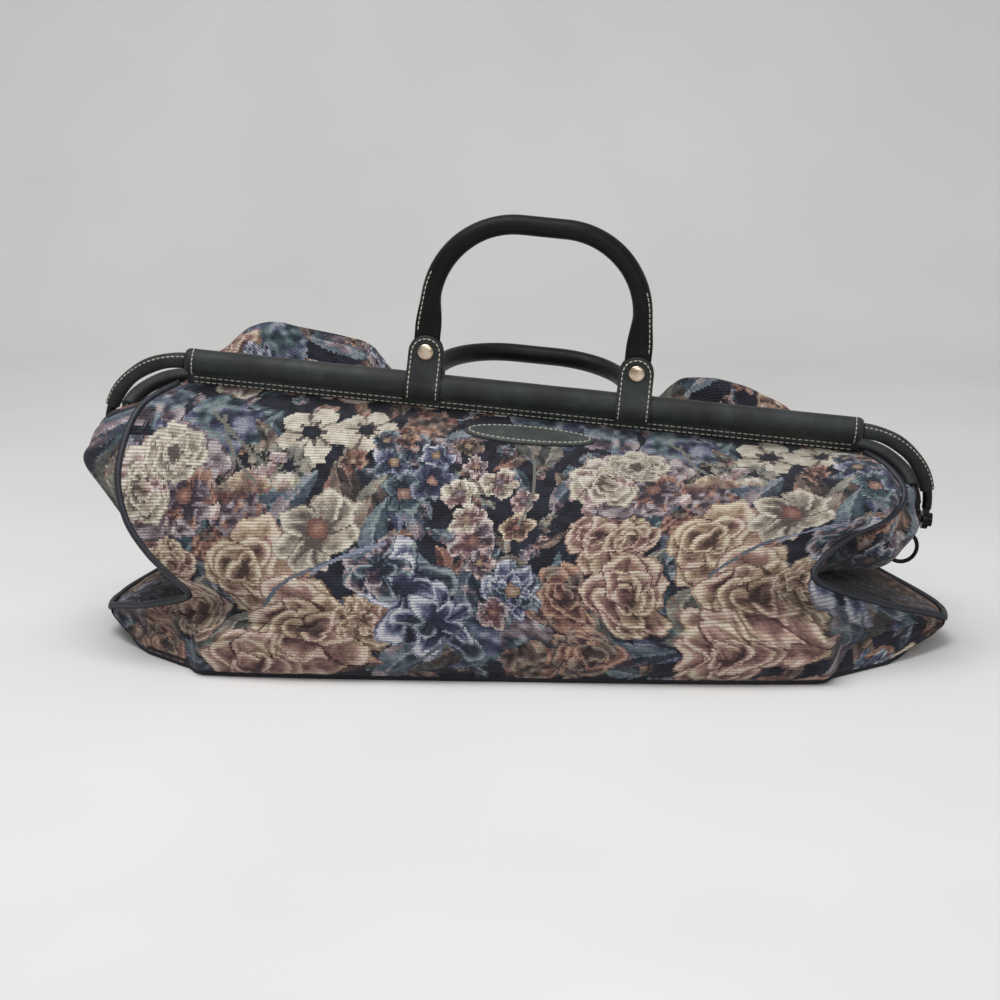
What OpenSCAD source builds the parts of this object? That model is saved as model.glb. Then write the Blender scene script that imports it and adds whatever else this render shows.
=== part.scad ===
// Carpet bag: a slumped tapestry body on a hinged two-bar mouth frame, with rolled leather handles.
// +X runs along the bag to its right end, +Y to its back, +Z up. The origin is the middle of the base, on the floor.

/* [Body] */
// Overall length of the fabric body, corner to corner
body_l = 600; // [540:5:680]
// Overall depth of the fabric body, front to back
body_d = 264; // [220:4:310]
// Height of the frame hinge above the floor
hinge_h = 120; // [112:1:145]
// Swell of the slack cloth beside the left arm
left_puff = 37; // [0:1:40]
// Swell of the slack cloth beside the right arm
right_puff = 8; // [0:1:20]
// Extra height of the hump behind the left half of the bar
left_hump = 56; // [0:1:60]
// Extra height of the hump behind the right half of the bar
right_hump = 6; // [0:1:30]
// Thickness of the lined tapestry
panel_t = 2; // [1.6:0.1:2.6]
// Thickness of the base panel
base_t = 3; // [2:0.5:5]
// Thickness of the stiffening board inside the base
board_t = 4; // [2:0.5:8]
// Radius of the corded piping
piping_r = 2.5; // [2:0.1:3]

/* [Frame] */
// Length of each mouth bar over its leather sleeve
bar_l = 490; // [430:5:520]
// Radius of each mouth bar over its leather sleeve
bar_r = 9.5; // [8:0.25:11]
// Thickness of the leather on the bars
sleeve_t = 1.5; // [1:0.1:2.5]
// Distance from the hinge axis to a bar's axis
arm_l = 64; // [60:1:76]
// Bend radius of the front arms
arm_bend_r = 55; // [45:1:60]
// Radius of the steel arms
rod_r = 3.5; // [2.5:0.25:4]
// Radius of the arms over their leather covers
arm_cover_r = 5.5; // [4.5:0.25:6]
// Lean of the closed front frame from upright, towards the front
front_lean = 11.5; // [11.5:0.5:16]
// Lean of the fallen back frame from upright, towards the back
back_lean = 50; // [40:1:60]
// Slope of the slumped frame, lower at the right
frame_slope = 5.5; // [0:0.5:6.5]
// Height of the sewn flange under each bar
flange_h = 6.5; // [6:0.5:9]

/* [Handles] */
// Distance between the two ends of a handle
handle_span = 152; // [130:2:180]
// Height of a handle's grip above its bar's axis
handle_h = 122; // [105:1:140]
// Radius of the grip
grip_r = 7.2; // [6:0.2:8]
// Bend radius of the handle's corners
handle_bend_r = 60; // [45:1:62]
// Width of a handle's flat end
handle_end_w = 19; // [15:1:21]
// Thickness of a handle's flat end
handle_end_t = 5; // [4:0.5:6]
// Width of a handle tab
tab_w = 25; // [23:1:32]
// Thickness of a handle tab's leather
tab_t = 2.4; // [1.6:0.1:2.6]
// Height of a handle tab above the bar's axis
tab_h = 37; // [34:1:44]
// Height of the rivets above the bar's axis
rivet_h = 25; // [23:0.5:27]
// Radius of the rivet caps
rivet_cap_r = 6; // [4.5:0.25:7]
// Fall of the back handle from upright, towards the back
back_handle_fall = 79.5; // [60:0.5:90]
// Shift of the handles along their bars, to the right
handle_shift = 3.6; // [-10:0.2:10]

/* [Trim] */
// Length of the oval leather patch
patch_l = 86; // [60:2:110]
// Height of the oval leather patch
patch_h = 23; // [16:1:26]
// Radius of the ring's centre line
ring_r = 11.5; // [10.5:0.5:14]
// Radius of the ring's wire
ring_wire_r = 1.5; // [1.2:0.1:1.8]

/* [Hidden] */

$fn = 48;

// Gap between pieces that lie against each other
seat_gap = 0.3;
// Radial clearance of the hinge pin and the rivets
pin_gap = 0.08;
// Clearance of a leather loop that turns on its bar
loop_gap = 0.2;
// Drop from a flange to the first fold of its panel
mouth_gap = 0.6;

// Leather and tapestry colours
leather = "#343a38";
tapestry = "#6f6577";
piping_navy = "#22242e";
steel = "#8f9092";
nickel = "#c9b9a0";
gunmetal = "#2c2a28";
timber = "#b58f62";

// The frame: bars, flanges and the loops that turn on them
dowel_r = bar_r - sleeve_t;
loop_in_r = bar_r + loop_gap;
loop_out_r = loop_in_r + tab_t;
flange_t = panel_t + 2 * seat_gap + 2 * sleeve_t;
mouth_r = bar_r + flange_h;
panel_top_r = loop_out_r + 2 * seat_gap;
flange_end = 2;

// The arms: a rod out of each bar end, one bend, and a flat eye on the hinge pin
arm_start = bar_l / 2 + seat_gap;
arm_socket = 28;
arm_x = arm_start + arm_bend_r;
eye_t = 4;
eye_r = 7;
eye_w = 8;
eye_gap = 1.7;
pin_r = 2.5;
pin_head_r = 5;
pin_head_t = 2.2;
cover_stop = 16;
eye_step = eye_t + eye_gap;

// The chapes: leather plates on the ends of the body that carry the hinge pins and the rings
chape_t = 3;
chape_w = 22;
chape_up = 8;
chape_down = 34;
chape_in = 32;
chape_x = arm_x - chape_in;
ring_drop = 10.5;
ring_x = chape_x + chape_t + ring_r + ring_wire_r + 2;
loop_l = 8;
loop_bore_r = ring_wire_r + 1.1;
loop_wall = 2.4;

// Handles
handle_flat_from = 19;
handle_flat_to = 42;
handle_round_from = handle_h - handle_bend_r;
rivet_r = 2.2;
rivet_cap_t = 2.2;
tab_close_h = 18;

// Patch
patch_t = 1.8;
patch_x = 7;

// Where the panels meet the bars, as [y, z] with the frame level
function bar_yz(lean) = [arm_l * sin(lean), hinge_h + arm_l * cos(lean)];
front_bar = bar_yz(-front_lean);
back_bar = bar_yz(back_lean);
front_face = panel_t / 2 * [-cos(front_lean), -sin(front_lean)];
back_face = panel_t / 2 * [1, 0];
front_mouth = front_bar + front_face + (mouth_r + mouth_gap) * [sin(front_lean), -cos(front_lean)];
back_mouth = back_bar + back_face + (mouth_r + mouth_gap) * [0, -1];
front_top = front_bar + front_face + panel_top_r * [sin(front_lean), -cos(front_lean)];
back_top = back_bar + back_face + panel_top_r * [0, -1];

// Fabric profiles, from the floor up
half_l = body_l / 2;
half_d = body_d / 2;
floor_z = base_t + seat_gap;
end_rise = half_l * tan(frame_slope);

function share_z(f, top) = floor_z + f * (top - floor_z);

// Middle of the front panel, [y, z]: depths are shares of half the body, heights of the way to the mouth
front_mid = concat([for (p = [[0.90, 0], [0.955, 0.06], [0.977, 0.135], [0.985, 0.225], [0.97, 0.335],
    [0.932, 0.445], [0.856, 0.56], [0.735, 0.683], [0.56, 0.8], [0.333, 0.916]])
    [-p[0] * half_d, share_z(p[1], front_mouth[1])]], [front_mouth]);

// Middle of the back panel, and the hump that it throws up beside the handle, [y, z]
back_mid = concat([for (p = [[0.90, 0], [0.955, 0.077], [0.99, 0.17], [1, 0.335], [0.977, 0.493], [0.924, 0.65],
    [0.848, 0.78], [0.72, 0.88], [0.568, 0.918], [0.43, 0.94]])
    [p[0] * half_d, share_z(p[1], back_mouth[1])]], [back_mouth]);
back_hump = concat([for (p = [[0.90, 0], [0.97, 0.12], [1, 0.28], [1.02, 0.47], [1.02, 0.7], [0.98, 0.94],
    [0.89, 1.16], [0.74, 1.27], [0.6, 1.12], [0.47, 0.96]]) [p[0] * half_d, share_z(p[1], back_mouth[1])]],
    [back_mouth]);
// Where the humps start, stand and end on the way from the middle to a seam, and each row's share of the extra height
left_span = [0.15, 0.45, 0.76, 0.97];
right_span = [0.3, 0.5, 0.76, 0.97];
lift_span = [0.15, 0.85, 0.9, 1];
lift_rows = [[3, 0], [4, 0.1], [5, 0.45], [6, 0.9], [7, 1], [8, 0.85], [9, 0.06], [10, 0]];

// Seams, as shares: length, what the slumped right end adds to it, depth, height and rise to the left.
// They run out to the soft bottom corner, in to the crease, out to the bulge and up to the bar's end.
front_seam = [[0.883, 0.01, -0.5, 0, 0], [0.972, 0.02, -0.3, 0.1, 0], [1.018, 0.025, -0.14, 0.175, 0],
    [0.873, 0, -0.46, 0.333, -0.14], [0.733, -0.02, -0.71, 0.5, -0.28], [0.753, -0.033, -0.735, 0.617, -0.28],
    [0.82, -0.027, -0.72, 0.758, -0.24], [0.893, -0.007, -0.67, 0.9, 0], [0.922, 0, -0.555, 1.09, 0.31],
    [0.89, 0, -0.32, 1.3, 0.69]];
back_seam = [[0.883, 0.01, 0.5, 0, 0], [0.972, 0.02, 0.3, 0.1, 0], [1.018, 0.025, 0.14, 0.175, 0],
    [0.88, 0, 0.485, 0.333, -0.07], [0.757, -0.017, 0.73, 0.49, -0.1], [0.78, -0.027, 0.79, 0.617, -0.07],
    [0.837, -0.023, 0.8, 0.75, 0], [0.893, -0.013, 0.76, 0.892, 0.17], [0.913, -0.007, 0.66, 1.05, 0.48],
    [0.883, 0, 0.49, 1.19, 0.8]];
// Middle of an end panel, in the same shares. Above the soft corner it reaches no further than the chape allows,
// so that the cloth stays behind the hinge and the ring.
end_low = [[0.963, 0.01, 0, 0, 0], [1, 0.02, 0, 0.1, 0], [1.025, 0.025, 0, 0.175, 0]];
end_high = [[0.942, 0.01, 0, 0.32, 0], [0.868, -0.015, 0, 0.49, 0], [0.85, 0, 0, 0.6, 0.25],
    [0.85, 0, 0, 0.717, 0.6]];
end_reach = min(half_l, 1.118 * chape_x);
end_top = [[3, -22], [0.9, -12], [0.6, -4], [0.6, 4]];
// How far the seams run out past a bar's end
seam_out = 3;

function placed(rows, side, reach) = [for (r = rows) [side * reach * (r[0] + side * r[1]), r[2] * half_d,
    max(floor_z, r[3] * hinge_h) - side * r[4] * end_rise]];
function bar_end(mouth, side) = turned([side * (bar_l / 2 + seam_out), mouth[0], mouth[1]], frame_slope);
front_left = concat(placed(front_seam, -1, half_l), [bar_end(front_mouth, -1)]);
front_right = concat(placed(front_seam, 1, half_l), [bar_end(front_mouth, 1)]);
back_left = concat(placed(back_seam, -1, half_l), [bar_end(back_mouth, -1)]);
back_right = concat(placed(back_seam, 1, half_l), [bar_end(back_mouth, 1)]);
function end_line(side) = concat(placed(end_low, side, half_l), placed(end_high, side, end_reach),
    [for (p = end_top) turned([side * (chape_x - p[0]), 0, hinge_h + p[1]], frame_slope)]);
left_end = end_line(-1);
right_end = end_line(1);

// Rows and columns of the fabric meshes
rows = 22;
front_columns = 34;
end_columns = 11;
last_row = len(front_left) - 1;
corner_row = 2;
front_power = 4;

// The front and back panels fold in behind their bottom corners, before they run out to the soft corners
fold_x = 0.72 * half_l;
fold_w = 14;
fold_start = 0.1;
fold_depth = 0.43;

// Room that each panel leaves for the piping along a seam
seam_gap = piping_r + 1.3;

// Catmull-Rom curve through a list of points, at t from 0 to its last index
function curve(p, t) = let (n = len(p) - 1, i = min(floor(t), n - 1), u = t - i,
    a = p[max(i - 1, 0)], b = p[i], c = p[i + 1], d = p[min(i + 2, n)])
    0.5 * (2 * b + (c - a) * u + (2 * a - 5 * b + 4 * c - d) * u * u + (3 * b - a - 3 * c + d) * u * u * u);

function smooth(u) = let (k = min(max(u, 0), 1)) k * k * (3 - 2 * k);
function mix(a, b, k) = a + (b - a) * k;
function unit(p) = p / norm(p);

// A point turned with the sloping frame, about the hinge
function turned(p, angle) = let (z = p[2] - hinge_h)
    [p[0] * cos(angle) + z * sin(angle), p[1], hinge_h - p[0] * sin(angle) + z * cos(angle)];

// How far a point of the front or back panel, at share s of the way to its seam, has left the middle profile
function fold_share(s, reach) = let (from = fold_x / reach, to = from + fold_w / reach)
    s < from ? fold_start * pow(s / from, 4)
    : s < to ? mix(fold_start, fold_depth, smooth((s - from) / (to - from)))
    : mix(fold_depth, 1, (s - to) / (1 - to));
function side_share(s, v, reach) = let (k = pow(s, front_power))
    reach > fold_x + 3 * fold_w ? mix(fold_share(s, reach), k, smooth((v - corner_row - 0.4) / 1.2)) : k;

// A point between two seams and a middle profile. s runs from -1 at the left seam to 1 at the right seam
function between(left, right, mid, s, v) = let (l = curve(left, v), r = curve(right, v), e = s < 0 ? l : r,
    k = side_share(abs(s), v, abs(e[0])))
    [mix(l[0], r[0], (s + 1) / 2), mix(mid[0], e[1], k),
        mid[1] + s * (r[2] - l[2]) / 2 + k * ((r[2] + l[2]) / 2 - mid[1])];
function front_at(s, v) = between(front_left, front_right, curve(front_mid, v), s, v);
function within(n, span) = smooth((n - span[0]) / (span[1] - span[0])) * smooth((span[3] - n) / (span[3] - span[2]));
function hump_lift(s, v) = (s < 0 ? left_hump : right_hump) * within(abs(s), lift_span) * lookup(v, lift_rows);
function back_at(s, v) = let (hump = within(abs(s), s < 0 ? left_span : right_span))
    between(back_left, back_right, mix(curve(back_mid, v), curve(back_hump, v), hump), s, v) + [0, 0, hump_lift(s, v)];

// A point of an end panel. q runs from -1 at the front seam to 1 at the back seam
function end_at(side, q, v) = let (f = curve(side < 0 ? front_left : front_right, v),
    b = curve(side < 0 ? back_left : back_right, v), m = curve(side < 0 ? left_end : right_end, v),
    k = 1 - pow(abs(q), mix(2, 4, smooth((v - corner_row) / 2))))
    mix(f, b, (q + 1) / 2) + k * (m - (f + b) / 2) + end_puff(side, q, v) * [side, 0, puff_lift];

// The slack that swells out of an end panel's front half, beside the arm
puff_lift = 0.3;
function bell(u) = let (k = 1 - min(u * u, 1)) k * k;
function end_puff(side, q, v) = (side < 0 ? left_puff : right_puff) * bell((q + 0.62) / 0.36) * bell((v - 7.8) / 2.3);

// How far a panel reaches towards its seam, as a share, so that it stops seam_gap short of it.
// at(k, v) is a point of the panel, on the seam at k = 1.
function edge_share(at, v) = let (h = 0.02, low = max(v - h, 0), high = min(v + h, last_row),
    along = unit(at(1, high) - at(1, low)), out = (at(1, v) - at(1 - h, v)) / h)
    1 - seam_gap / max(norm(cross(along, out)), 5 * seam_gap);
function front_edge(side, v) = edge_share(function (k, v) front_at(side * k, v), v);
function back_edge(side, v) = edge_share(function (k, v) back_at(side * k, v), v);
function end_edge(side, q, v) = edge_share(function (k, v) end_at(side, k * q, v), v);

function above_floor(p) = [p[0], p[1], max(p[2], floor_z)];

// A closed sheet of cloth from a grid of outer points, thickened inwards.
// The grid runs from left to right and then up, seen from outside.
module sheet(grid) {
    n = len(grid);
    m = len(grid[0]);
    inner = [for (j = [0 : n - 1]) [for (i = [0 : m - 1]) let (
        du = grid[j][min(i + 1, m - 1)] - grid[j][max(i - 1, 0)],
        dv = grid[min(j + 1, n - 1)][i] - grid[max(j - 1, 0)][i])
        above_floor(grid[j][i] - panel_t * unit(cross(du, dv)))]];
    points = concat([for (r = grid) each r], [for (r = inner) each r]);
    k = n * m;
    faces = concat(
        [for (j = [0 : n - 2], i = [0 : m - 2]) let (a = j * m + i) each [[a, a + m, a + m + 1], [a, a + m + 1, a + 1]]],
        [for (j = [0 : n - 2], i = [0 : m - 2]) let (a = k + j * m + i)
            each [[a, a + m + 1, a + m], [a, a + 1, a + m + 1]]],
        [for (i = [0 : m - 2]) each [[i, i + 1, k + i + 1], [i, k + i + 1, k + i]]],
        [for (i = [0 : m - 2]) let (a = (n - 1) * m + i) each [[a, k + a + 1, a + 1], [a, k + a, k + a + 1]]],
        [for (j = [0 : n - 2]) let (a = j * m) each [[a, k + a, k + a + m], [a, k + a + m, a + m]]],
        [for (j = [0 : n - 2]) let (a = j * m + m - 1) each [[a, k + a + m, k + a], [a, a + m, k + a + m]]]);
    polyhedron(points, faces, convexity = 6);
}

function row_at(j) = last_row * j / rows;
function column_at(i, columns) = -1 + 2 * i / columns;
// Columns of the long panels, closer together near the seams
function panel_column(i) = let (c = column_at(i, front_columns)) 1.3 * c - 0.3 * c * c * c;
function top_row(yz) = [for (i = [0 : front_columns])
    turned([panel_column(i) * (bar_l / 2 - flange_end - seat_gap), yz[0], yz[1]], frame_slope)];
function reversed(a) = [for (i = [len(a) - 1 : -1 : 0]) a[i]];

module front_panel() {
    color(tapestry) sheet(concat(
        [for (j = [0 : rows]) let (v = row_at(j))
            [for (i = [0 : front_columns]) let (c = panel_column(i)) front_at(c * front_edge(c < 0 ? -1 : 1, v), v)]],
        [top_row(front_top)]));
}

module back_panel() {
    color(tapestry) sheet(concat(
        [for (j = [0 : rows]) let (v = row_at(j))
            [for (i = [0 : front_columns]) let (c = -panel_column(i)) back_at(c * back_edge(c < 0 ? -1 : 1, v), v)]],
        [reversed(top_row(back_top))]));
}

module end_panel(side) {
    color(tapestry) sheet([for (j = [0 : rows]) let (v = row_at(j))
        [for (i = [0 : end_columns]) let (q = side * column_at(i, end_columns))
            end_at(side, q * end_edge(side, sign(q), v), v)]]);
}
module left_end_panel() { end_panel(-1); }
module right_end_panel() { end_panel(1); }

// The base: the ring of the panels' bottom edges, and a board inside it
function flat(p) = [p[0], p[1]];
base_outline = concat(
    [for (i = [0 : front_columns - 1]) flat(front_at(panel_column(i), 0))],
    [for (i = [0 : end_columns - 1]) flat(end_at(1, column_at(i, end_columns), 0))],
    [for (i = [0 : front_columns - 1]) flat(back_at(-panel_column(i), 0))],
    [for (i = [0 : end_columns - 1]) flat(end_at(-1, -column_at(i, end_columns), 0))]);
board_share = 0.93;

module base_panel() {
    color(tapestry) linear_extrude(base_t) polygon(base_outline);
}

module base_board() {
    color(timber) translate([0, 0, base_t]) linear_extrude(board_t) polygon(board_share * base_outline);
}

// Piping: down a front seam, round the soft bottom corners on the end panel, and up the back seam
piping_sides = 8;
piping_rings = 26;
piping_cross = 12;
function end_normal(side, q, v) = let (h = 0.05,
    du = end_at(side, min(q + h, 1), v) - end_at(side, max(q - h, -1), v),
    dv = end_at(side, q, v + h) - end_at(side, q, v - h)) side * unit(cross(du, dv));
function piping_at(side, q, v) = end_at(side, q, v)
    + (piping_r + 2 * seat_gap) * smooth(corner_row + 1 - v) * end_normal(side, q, v);
function piping_path(side) = concat(
    [for (i = [0 : piping_rings]) piping_at(side, -1, mix(last_row - 0.1, corner_row, i / piping_rings))],
    [for (i = [1 : piping_cross - 1]) piping_at(side, column_at(i, piping_cross), corner_row)],
    [for (i = [0 : piping_rings]) piping_at(side, 1, mix(corner_row, last_row - 0.1, i / piping_rings))]);

// A round tube along a path, its rings carried along without twisting
module tube(path, r, sides) {
    n = len(path);
    tangent = [for (i = [0 : n - 1]) unit(path[min(i + 1, n - 1)] - path[max(i - 1, 0)])];
    across = function (a, t) unit(a - (a * t) * t);
    normal = [for (i = 0, a = across([1, 0, 0], tangent[0]); i < n;
        i = i + 1, a = i < n ? across(a, tangent[i]) : a) a];
    points = [for (i = [0 : n - 1]) let (b = cross(tangent[i], normal[i])) each
        [for (k = [0 : sides - 1]) path[i] + r * (cos(360 * k / sides) * normal[i] + sin(360 * k / sides) * b)]];
    wall = [for (i = [0 : n - 2], k = [0 : sides - 1]) let (a = i * sides + k, b = i * sides + (k + 1) % sides)
        each [[a, a + sides, b + sides], [a, b + sides, b]]];
    start = [for (k = [0 : sides - 1]) k];
    stop = [for (k = [sides - 1 : -1 : 0]) (n - 1) * sides + k];
    polyhedron(points, concat(wall, [start, stop]), convexity = 8);
}

module piping(side) { color(piping_navy) tube(piping_path(side), piping_r, piping_sides); }
module left_piping() { piping(-1); }
module right_piping() { piping(1); }

// Places: the sloping hinge axis, each frame half, and each handle
module on_hinge() { translate([0, 0, hinge_h]) rotate([0, frame_slope, 0]) children(); }
module on_front() { on_hinge() rotate([front_lean, 0, 0]) children(); }
module on_back() { on_hinge() rotate([-back_lean, 0, 0]) children(); }
module on_front_bar() { on_front() translate([0, 0, arm_l]) children(); }
module on_back_bar() { on_back() translate([0, 0, arm_l]) children(); }
module on_front_handle() { on_front_bar() translate([handle_shift, 0, 0]) rotate([-front_lean, 0, 0]) children(); }
module on_back_handle() {
    on_back_bar() translate([handle_shift, 0, 0]) rotate([back_lean - back_handle_fall, 0, 0]) children();
}
module on_side(side) { if (side > 0) children(); else mirror([1, 0, 0]) children(); }
module along_x(r, from, to) { translate([from, 0, 0]) rotate([0, 90, 0]) cylinder(r = r, h = to - from); }

// Hinges: a leather chape, a spacer, and a headed pin through both arm eyes
eye_front = [arm_x - eye_t / 2, arm_x + eye_t / 2];
eye_back = eye_front - [eye_step, eye_step];

module chape(side) {
    loop_from = ring_x - loop_l / 2;
    loop_to = ring_x + loop_l / 2;
    loop_r = loop_bore_r + loop_wall;
    color(leather) on_hinge() on_side(side) difference() {
        union() {
            translate([chape_x, -chape_w / 2, -chape_down]) cube([chape_t, chape_w, chape_down + chape_up]);
            translate([chape_x, -loop_r, loop_bore_r - ring_drop])
                cube([loop_to - chape_x, 2 * loop_r, loop_wall]);
            translate([0, 0, -ring_drop]) along_x(loop_r, loop_from, loop_to);
        }
        along_x(pin_r + pin_gap, chape_x - 1, chape_x + chape_t + 1);
        translate([0, 0, -ring_drop]) along_x(loop_bore_r, loop_from - 1, loop_to + 1);
    }
}
module left_chape() { chape(-1); }
module right_chape() { chape(1); }

module hinge_spacer(side) {
    color(steel) on_hinge() on_side(side) difference() {
        along_x(pin_r + 2, chape_x + chape_t, eye_back[0] - eye_gap / 2);
        along_x(pin_r + pin_gap, chape_x, eye_front[0]);
    }
}
module left_hinge_spacer() { hinge_spacer(-1); }
module right_hinge_spacer() { hinge_spacer(1); }

module hinge_pin(side) {
    head = eye_front[1] + eye_gap / 2;
    color(steel) on_hinge() on_side(side) union() {
        along_x(pin_r, chape_x, head + pin_head_t / 2);
        along_x(pin_head_r, head, head + pin_head_t);
    }
}
module left_hinge_pin() { hinge_pin(-1); }
module right_hinge_pin() { hinge_pin(1); }

module end_ring(side) {
    color(gunmetal) on_hinge() on_side(side) translate([ring_x, 0, -ring_drop - ring_r])
        rotate([90, 0, 0]) rotate_extrude() translate([ring_r, 0]) circle(r = ring_wire_r, $fn = 24);
}
module left_ring() { end_ring(-1); }
module right_ring() { end_ring(1); }

// Frame halves: a dowel in a sewn leather sleeve, with a bent steel arm plugged into each end
module dowel() {
    socket_from = bar_l / 2 - flange_end - arm_socket - 2;
    color(timber) translate([0, 0, arm_l]) difference() {
        along_x(dowel_r, flange_end - bar_l / 2, bar_l / 2 - flange_end);
        for (side = [-1, 1]) on_side(side) along_x(rod_r + pin_gap, socket_from, bar_l / 2);
    }
}

// flange_turn swings the flange about the bar, away from the frame's plane.
// The flange is slotted for the panel, and cut away where the handle tabs turn.
module flange() {
    slot_t = panel_t + 2 * seat_gap;
    notch_w = tab_w + 4;
    reach = panel_top_r - seat_gap;
    difference() {
        translate([flange_end - bar_l / 2, -flange_t / 2, -mouth_r])
            cube([bar_l - 2 * flange_end, flange_t, mouth_r - dowel_r]);
        translate([-bar_l, -slot_t / 2, -mouth_r - 1]) cube([2 * bar_l, slot_t, mouth_r + 1 - reach]);
        for (side = [-1, 1]) translate([handle_shift + side * handle_span / 2 - notch_w / 2, -flange_t, -reach])
            cube([notch_w, 2 * flange_t, reach]);
    }
}

module bar_sleeve(flange_turn) {
    color(leather) translate([0, 0, arm_l]) difference() {
        union() {
            along_x(bar_r, -bar_l / 2, bar_l / 2);
            rotate([flange_turn, 0, 0]) flange();
        }
        along_x(dowel_r + pin_gap, -bar_l, bar_l);
    }
}

// step_in brings the back arms inside the front ones, so that their eyes lie side by side
module arm(side, step_in) {
    bend = arm_bend_r - step_in;
    x = arm_start + bend;
    color(steel) on_side(side) difference() {
        union() {
            translate([0, 0, arm_l]) along_x(rod_r, bar_l / 2 - arm_socket, arm_start);
            translate([arm_start, 0, arm_l - bend]) rotate([90, 0, 0])
                rotate_extrude(angle = 90) translate([bend, 0]) circle(r = rod_r);
            translate([x - eye_t / 2, -eye_w / 2, 0]) cube([eye_t, eye_w, arm_l - bend + 1]);
            along_x(eye_r, x - eye_t / 2, x + eye_t / 2);
        }
        along_x(pin_r + pin_gap, x - eye_t, x + eye_t);
    }
}

module arm_cover(side, step_in) {
    bend = arm_bend_r - step_in;
    color(leather) on_side(side) translate([arm_start, 0, arm_l - bend]) rotate([90, 0, 0]) rotate([0, 0, cover_stop])
        rotate_extrude(angle = 90 - cover_stop) translate([bend, 0]) difference() {
            circle(r = arm_cover_r);
            circle(r = rod_r + pin_gap);
        }
}

module front_dowel() { on_front() dowel(); }
module front_bar_sleeve() { on_front() bar_sleeve(0); }
module front_left_arm() { on_front() arm(-1, 0); }
module front_right_arm() { on_front() arm(1, 0); }
module front_left_arm_cover() { on_front() arm_cover(-1, 0); }
module front_right_arm_cover() { on_front() arm_cover(1, 0); }
module back_dowel() { on_back() dowel(); }
module back_bar_sleeve() { on_back() bar_sleeve(back_lean); }
module back_left_arm() { on_back() arm(-1, eye_step); }
module back_right_arm() { on_back() arm(1, eye_step); }
module back_left_arm_cover() { on_back() arm_cover(-1, eye_step); }
module back_right_arm_cover() { on_back() arm_cover(1, eye_step); }

// The patch lies on the front panel, just under the flange, square to the cloth there
patch_row = last_row - 0.7;
patch_s = patch_x / curve(front_right, patch_row)[0];
patch_seat = front_at(patch_s, patch_row);
patch_along = unit(front_at(patch_s + 0.1, patch_row) - front_at(patch_s - 0.1, patch_row));
patch_up = front_at(patch_s, patch_row + 0.1) - front_at(patch_s, patch_row - 0.1);
patch_out = unit(cross(patch_along, patch_up));
patch_clear = 0.4;

module leather_patch() {
    place = patch_seat + patch_clear * patch_out;
    up = cross(patch_out, patch_along);
    color(leather) multmatrix([for (i = [0 : 2]) [patch_along[i], up[i], patch_out[i], place[i]]])
        linear_extrude(patch_t) scale([patch_l / patch_h, 1]) circle(d = patch_h);
}

// Handles: a rolled grip with flat ends, each held in a folded tab that turns on the bar
module handle_leg() {
    slice = 0.5;
    x = handle_span / 2;
    translate([x, 0, 0]) hull() {
        translate([0, 0, handle_round_from - slice]) cylinder(r = grip_r, h = slice);
        translate([-handle_end_w / 2, -handle_end_t / 2, handle_flat_to]) cube([handle_end_w, handle_end_t, slice]);
    }
    translate([x - handle_end_w / 2, -handle_end_t / 2, handle_flat_from])
        cube([handle_end_w, handle_end_t, handle_flat_to - handle_flat_from + slice]);
}

module handle() {
    top_half = handle_span / 2 - handle_bend_r;
    color(leather) difference() {
        union() {
            for (side = [-1, 1]) on_side(side) {
                handle_leg();
                translate([top_half, 0, handle_round_from]) rotate([90, 0, 0])
                    rotate_extrude(angle = 90) translate([handle_bend_r, 0]) circle(r = grip_r);
            }
            translate([0, 0, handle_h]) along_x(grip_r, -top_half - 0.01, top_half + 0.01);
        }
        for (side = [-1, 1]) rivet_hole(side);
    }
}

module rivet_hole(side) {
    translate([side * handle_span / 2, 0, rivet_h]) rotate([90, 0, 0])
        cylinder(r = rivet_r + pin_gap, h = 8 * loop_out_r, center = true);
}

// Side view of a tab: round the bar, closing in to hold the flat end of the handle
module tab_outline(r, half) {
    circle(r = r);
    polygon([[-r, 0], [r, 0], [half, tab_close_h], [half, tab_h], [-half, tab_h], [-half, tab_close_h]]);
}

module handle_tab(side) {
    half = handle_end_t / 2 + pin_gap;
    x = side * handle_span / 2;
    color(leather) difference() {
        intersection() {
            translate([x - tab_w / 2, 0, 0]) rotate([90, 0, 90]) linear_extrude(tab_w) difference() {
                tab_outline(loop_out_r, half + tab_t);
                tab_outline(loop_in_r, half);
                translate([-half, tab_close_h]) square([2 * half, tab_h]);
            }
            union() {
                translate([x, 0, tab_h - tab_w / 2]) rotate([90, 0, 0])
                    cylinder(d = tab_w, h = 8 * loop_out_r, center = true);
                translate([x - tab_w / 2, -4 * loop_out_r, -2 * loop_out_r])
                    cube([tab_w, 8 * loop_out_r, tab_h - tab_w / 2 + 2 * loop_out_r]);
            }
        }
        rivet_hole(side);
    }
}

module rivet(side) {
    face = handle_end_t / 2 + pin_gap + tab_t + pin_gap;
    color(nickel) translate([side * handle_span / 2, 0, rivet_h]) rotate([90, 0, 0]) union() {
        cylinder(r = rivet_r, h = 2 * face + 1, center = true);
        for (turn = [0, 180]) rotate([turn, 0, 0]) translate([0, 0, face]) {
            cylinder(r = rivet_cap_r, h = rivet_cap_t / 2);
            translate([0, 0, rivet_cap_t / 2]) cylinder(r1 = rivet_cap_r, r2 = rivet_cap_r * 0.6, h = rivet_cap_t / 2);
        }
    }
}

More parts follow.
